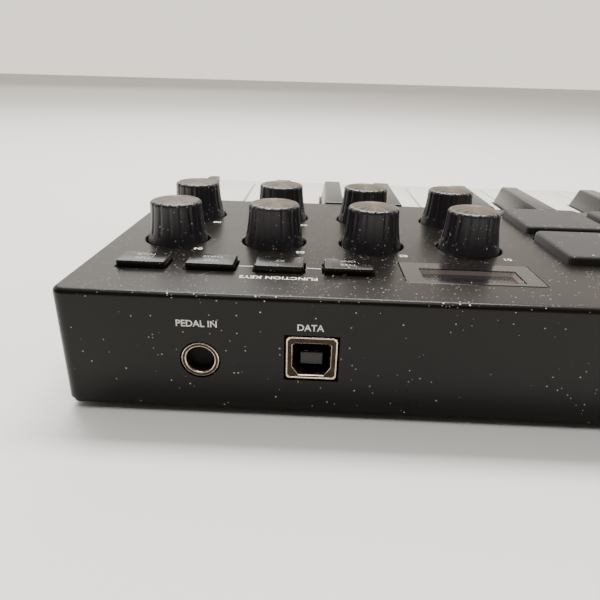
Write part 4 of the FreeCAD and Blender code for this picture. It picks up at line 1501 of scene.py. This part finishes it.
# ---- print --------------------------------------------------------------------------------------
@dataclass
class Print:
    """White lettering and rules on the deck and on the rear panel. Every word is a plain one."""

    finishes: Finishes
    ends: tuple[tuple[str, str, str, float], ...] = (
        ("panel_print", "PEDAL IN", "pedal_jack", 0.4 * MM),
        ("panel_print_data", "DATA", "usb_socket", 0.5 * MM))
    panel_letter: float = 2.3 * MM
    panel_height: float = 7.95 * MM
    knob_letter: float = 2.5 * MM
    knob_offset: tuple[float, float] = (-8.15 * MM, 9.85 * MM)
    linked: tuple[str, ...] = ("button_bank", "button_control", "button_program")
    rule_gap: float = 0.8 * MM
    rule_width: float = 0.32 * MM
    title_letter: float = 2.55 * MM
    title_offset: tuple[float, float] = (-0.2 * MM, 7.5 * MM)
    pad_letter: float = 1.9 * MM
    pad_offset: tuple[float, float] = (-11.6 * MM, 2.1 * MM)

    def build(self) -> None:
        """Prints the deck and the rear panel."""
        deck = high_corner("display_lens").z - 0.1 * MM
        marks = [self.knob_number(number, deck) for number in range(1, 9)]
        marks += self.button_rule(deck)
        marks += self.pad_numbers(deck)
        deck_print = marks[0].join(marks[1:])
        deck_print.piece.name = "deck_print"
        deck_print.dress(self.finishes.ink).mount("chassis", Slot.CASE)

        panel = high_corner("top_case").y + INK_LIFT
        height = middle("usb_socket").z + self.panel_height
        jack, data = (Blank.words(name, text, self.panel_letter, (middle(node).x + shift, panel, height),
                                  Facing.REAR, 0.015) for name, text, node, shift in self.ends)
        jack.join([data]).dress(self.finishes.ink).mount("chassis", Slot.CASE)

    @staticmethod
    def mark(text: str, size: float, x: float, y: float, deck: float, weight: float = 0.012) -> Blank:
        """Words on the deck."""
        return Blank.words("mark", text, size, (x, y, deck + INK_LIFT), Facing.DECK, weight)

    def knob_number(self, number: int, deck: float) -> Blank:
        """A knob's number, behind it on the player's left."""
        place, (right, back) = middle("knob_%d" % number), self.knob_offset
        return self.mark("%02d" % number, self.knob_letter, place.x + right, place.y + back, deck, 0.03)

    def button_rule(self, deck: float) -> list[Blank]:
        """The rules that link three buttons, and the word behind them.

        Args:
            deck: The height of the deck.

        Returns:
            The marks.
        """
        centres = [middle(n) for n in self.linked]
        half, width = Buttons.width / 2 + self.rule_gap, self.rule_width / 2
        marks = [Blank.block("mark", (a.x + half, a.y - width, deck - 0.01 * MM),
                             (b.x - half, a.y + width, deck + 0.02 * MM))
                 for a, b in zip(centres, centres[1:])]
        x, y = centres[1].xy + Vector(self.title_offset)
        return marks + [self.mark("FUNCTION KEYS", self.title_letter, x, y, deck)]

    def pad_numbers(self, deck: float) -> list[Blank]:
        """A small number behind each pad.

        Args:
            deck: The height of the deck.

        Returns:
            The numbers.
        """
        low, (right, back) = low_corner("pad_sheet"), self.pad_offset
        x, y = low.x + Pads.margin + Pads.size / 2 + right, low.y + Pads.margin + Pads.size + back
        return [self.mark("%d" % (number + 1), self.pad_letter, x + Pads.pitch * (number % Pads.columns),
                          y + Pads.pitch * (number // Pads.columns), deck)
                for number in range(Pads.columns * Pads.rows)]


# ---- studio -------------------------------------------------------------------------------------
@dataclass
class Studio:
    """A pale floor, soft light and the camera."""

    eye: Point = (99.13 * MM, 193.92 * MM, 77.0 * MM)
    pitch: float = 23.45
    yaw: float = -1.51
    roll: float = 1.61
    lens: float = 30.39
    bright: float = 1.5
    dim: float = 0.15

    def build(self) -> None:
        """Sets up the floor, the lights and the camera."""
        self.floor()
        self.lights()
        self.camera()

    def floor(self) -> None:
        """A plain pale floor."""
        Blank.clear()
        bpy.ops.mesh.primitive_plane_add(size=60.0, location=(0, 0, 0))
        floor = bpy.context.object
        floor.name = "floor"
        floor.data.materials.append(Moulded("pale_floor", "#d9d7d3", 0.7, "#dbd9d6", mottle=0.6,
                                            grain=2 * MM, grain_depth=0.01 * MM, specular=0.2).build())

    def lights(self) -> None:
        """Three soft lamps, beyond the keys and overhead, in a room that is brighter beyond the keys."""
        world = bpy.data.worlds.new("room")
        bpy.context.scene.world = world
        world.use_nodes = True
        tree = world.node_tree
        background = tree.nodes["Background"]
        background.inputs["Color"].default_value = linear("#fff6e8")
        way = add_node(tree, "SeparateXYZ", {},
                       {"Vector": add_node(tree, "TexCoord").outputs["Generated"]})
        # bright on the keys' side, dim behind the rear panel
        side = add_node(tree, "MapRange", {"interpolation_type": "SMOOTHSTEP"},
                        {"Value": way.outputs["Y"], "From Min": -0.45, "From Max": 0.35,
                         "To Min": self.bright, "To Max": self.dim})
        tree.links.new(side.outputs["Result"], background.inputs["Strength"])
        self.lamp("far_lamp", (1.1, -2.6, 2.1), (0.2, -0.6, 0.0), (1.8, 1.8), 30.0)
        self.lamp("high_lamp", (0.1, -0.42, 1.15), (0.1, 0.09, 0.03), (1.1, 0.26), 34.0)
        self.lamp("rear_lamp", (0.15, 0.45, 1.25), (0.1, 0.09, 0.02), (0.8, 0.5), 10.0)

    def lamp(self, name: str, place: Point, target: Point, size: tuple[float, float], power: float) -> None:
        """A rectangular soft lamp that looks at a point.

        Args:
            name: The lamp's name.
            place: Where it stands.
            target: What it looks at.
            size: Its width and height.
            power: Its power in watts.
        """
        light = bpy.data.lights.new(name, "AREA")
        light.shape, light.energy = "RECTANGLE", power
        light.size, light.size_y = size
        lamp = bpy.data.objects.new(name, light)
        lamp.location = place
        lamp.rotation_euler = (Vector(target) - Vector(place)).to_track_quat("-Z", "Y").to_euler()
        bpy.context.scene.collection.objects.link(lamp)

    def camera(self) -> None:
        """The camera, close behind the rear panel and a little above it."""
        data = bpy.data.cameras.new("camera")
        data.lens, data.sensor_width = self.lens, 36.0
        data.clip_start, data.clip_end = 0.005, 50.0
        camera = bpy.data.objects.new("camera", data)
        pitch, yaw = math.radians(self.pitch), math.radians(self.yaw)
        ahead = Vector((-math.sin(yaw) * math.cos(pitch), -math.cos(yaw) * math.cos(pitch), -math.sin(pitch)))
        level = ahead.to_track_quat("-Z", "Y")
        camera.rotation_euler = (level @ Quaternion((0, 0, 1), math.radians(self.roll))).to_euler()
        camera.location = self.eye
        bpy.context.scene.collection.objects.link(camera)
        bpy.context.scene.camera = camera


def main() -> None:
    """Builds the studio, then the keyboard's pieces in order."""
    logging.basicConfig(level=logging.INFO, format="%(message)s")
    Studio().build()
    finishes = Finishes()
    Casework(finishes).build()
    Knobs(finishes).build()
    Buttons(finishes).build()
    Keys(finishes).build()
    Pads(finishes).build()
    Display(finishes).build()
    PedalJack(finishes).build()
    UsbSocket(finishes).build()
    ThumbStick(finishes).build()
    Print(finishes).build()
    Blank.clear()


if __name__ == "__main__":
    main()
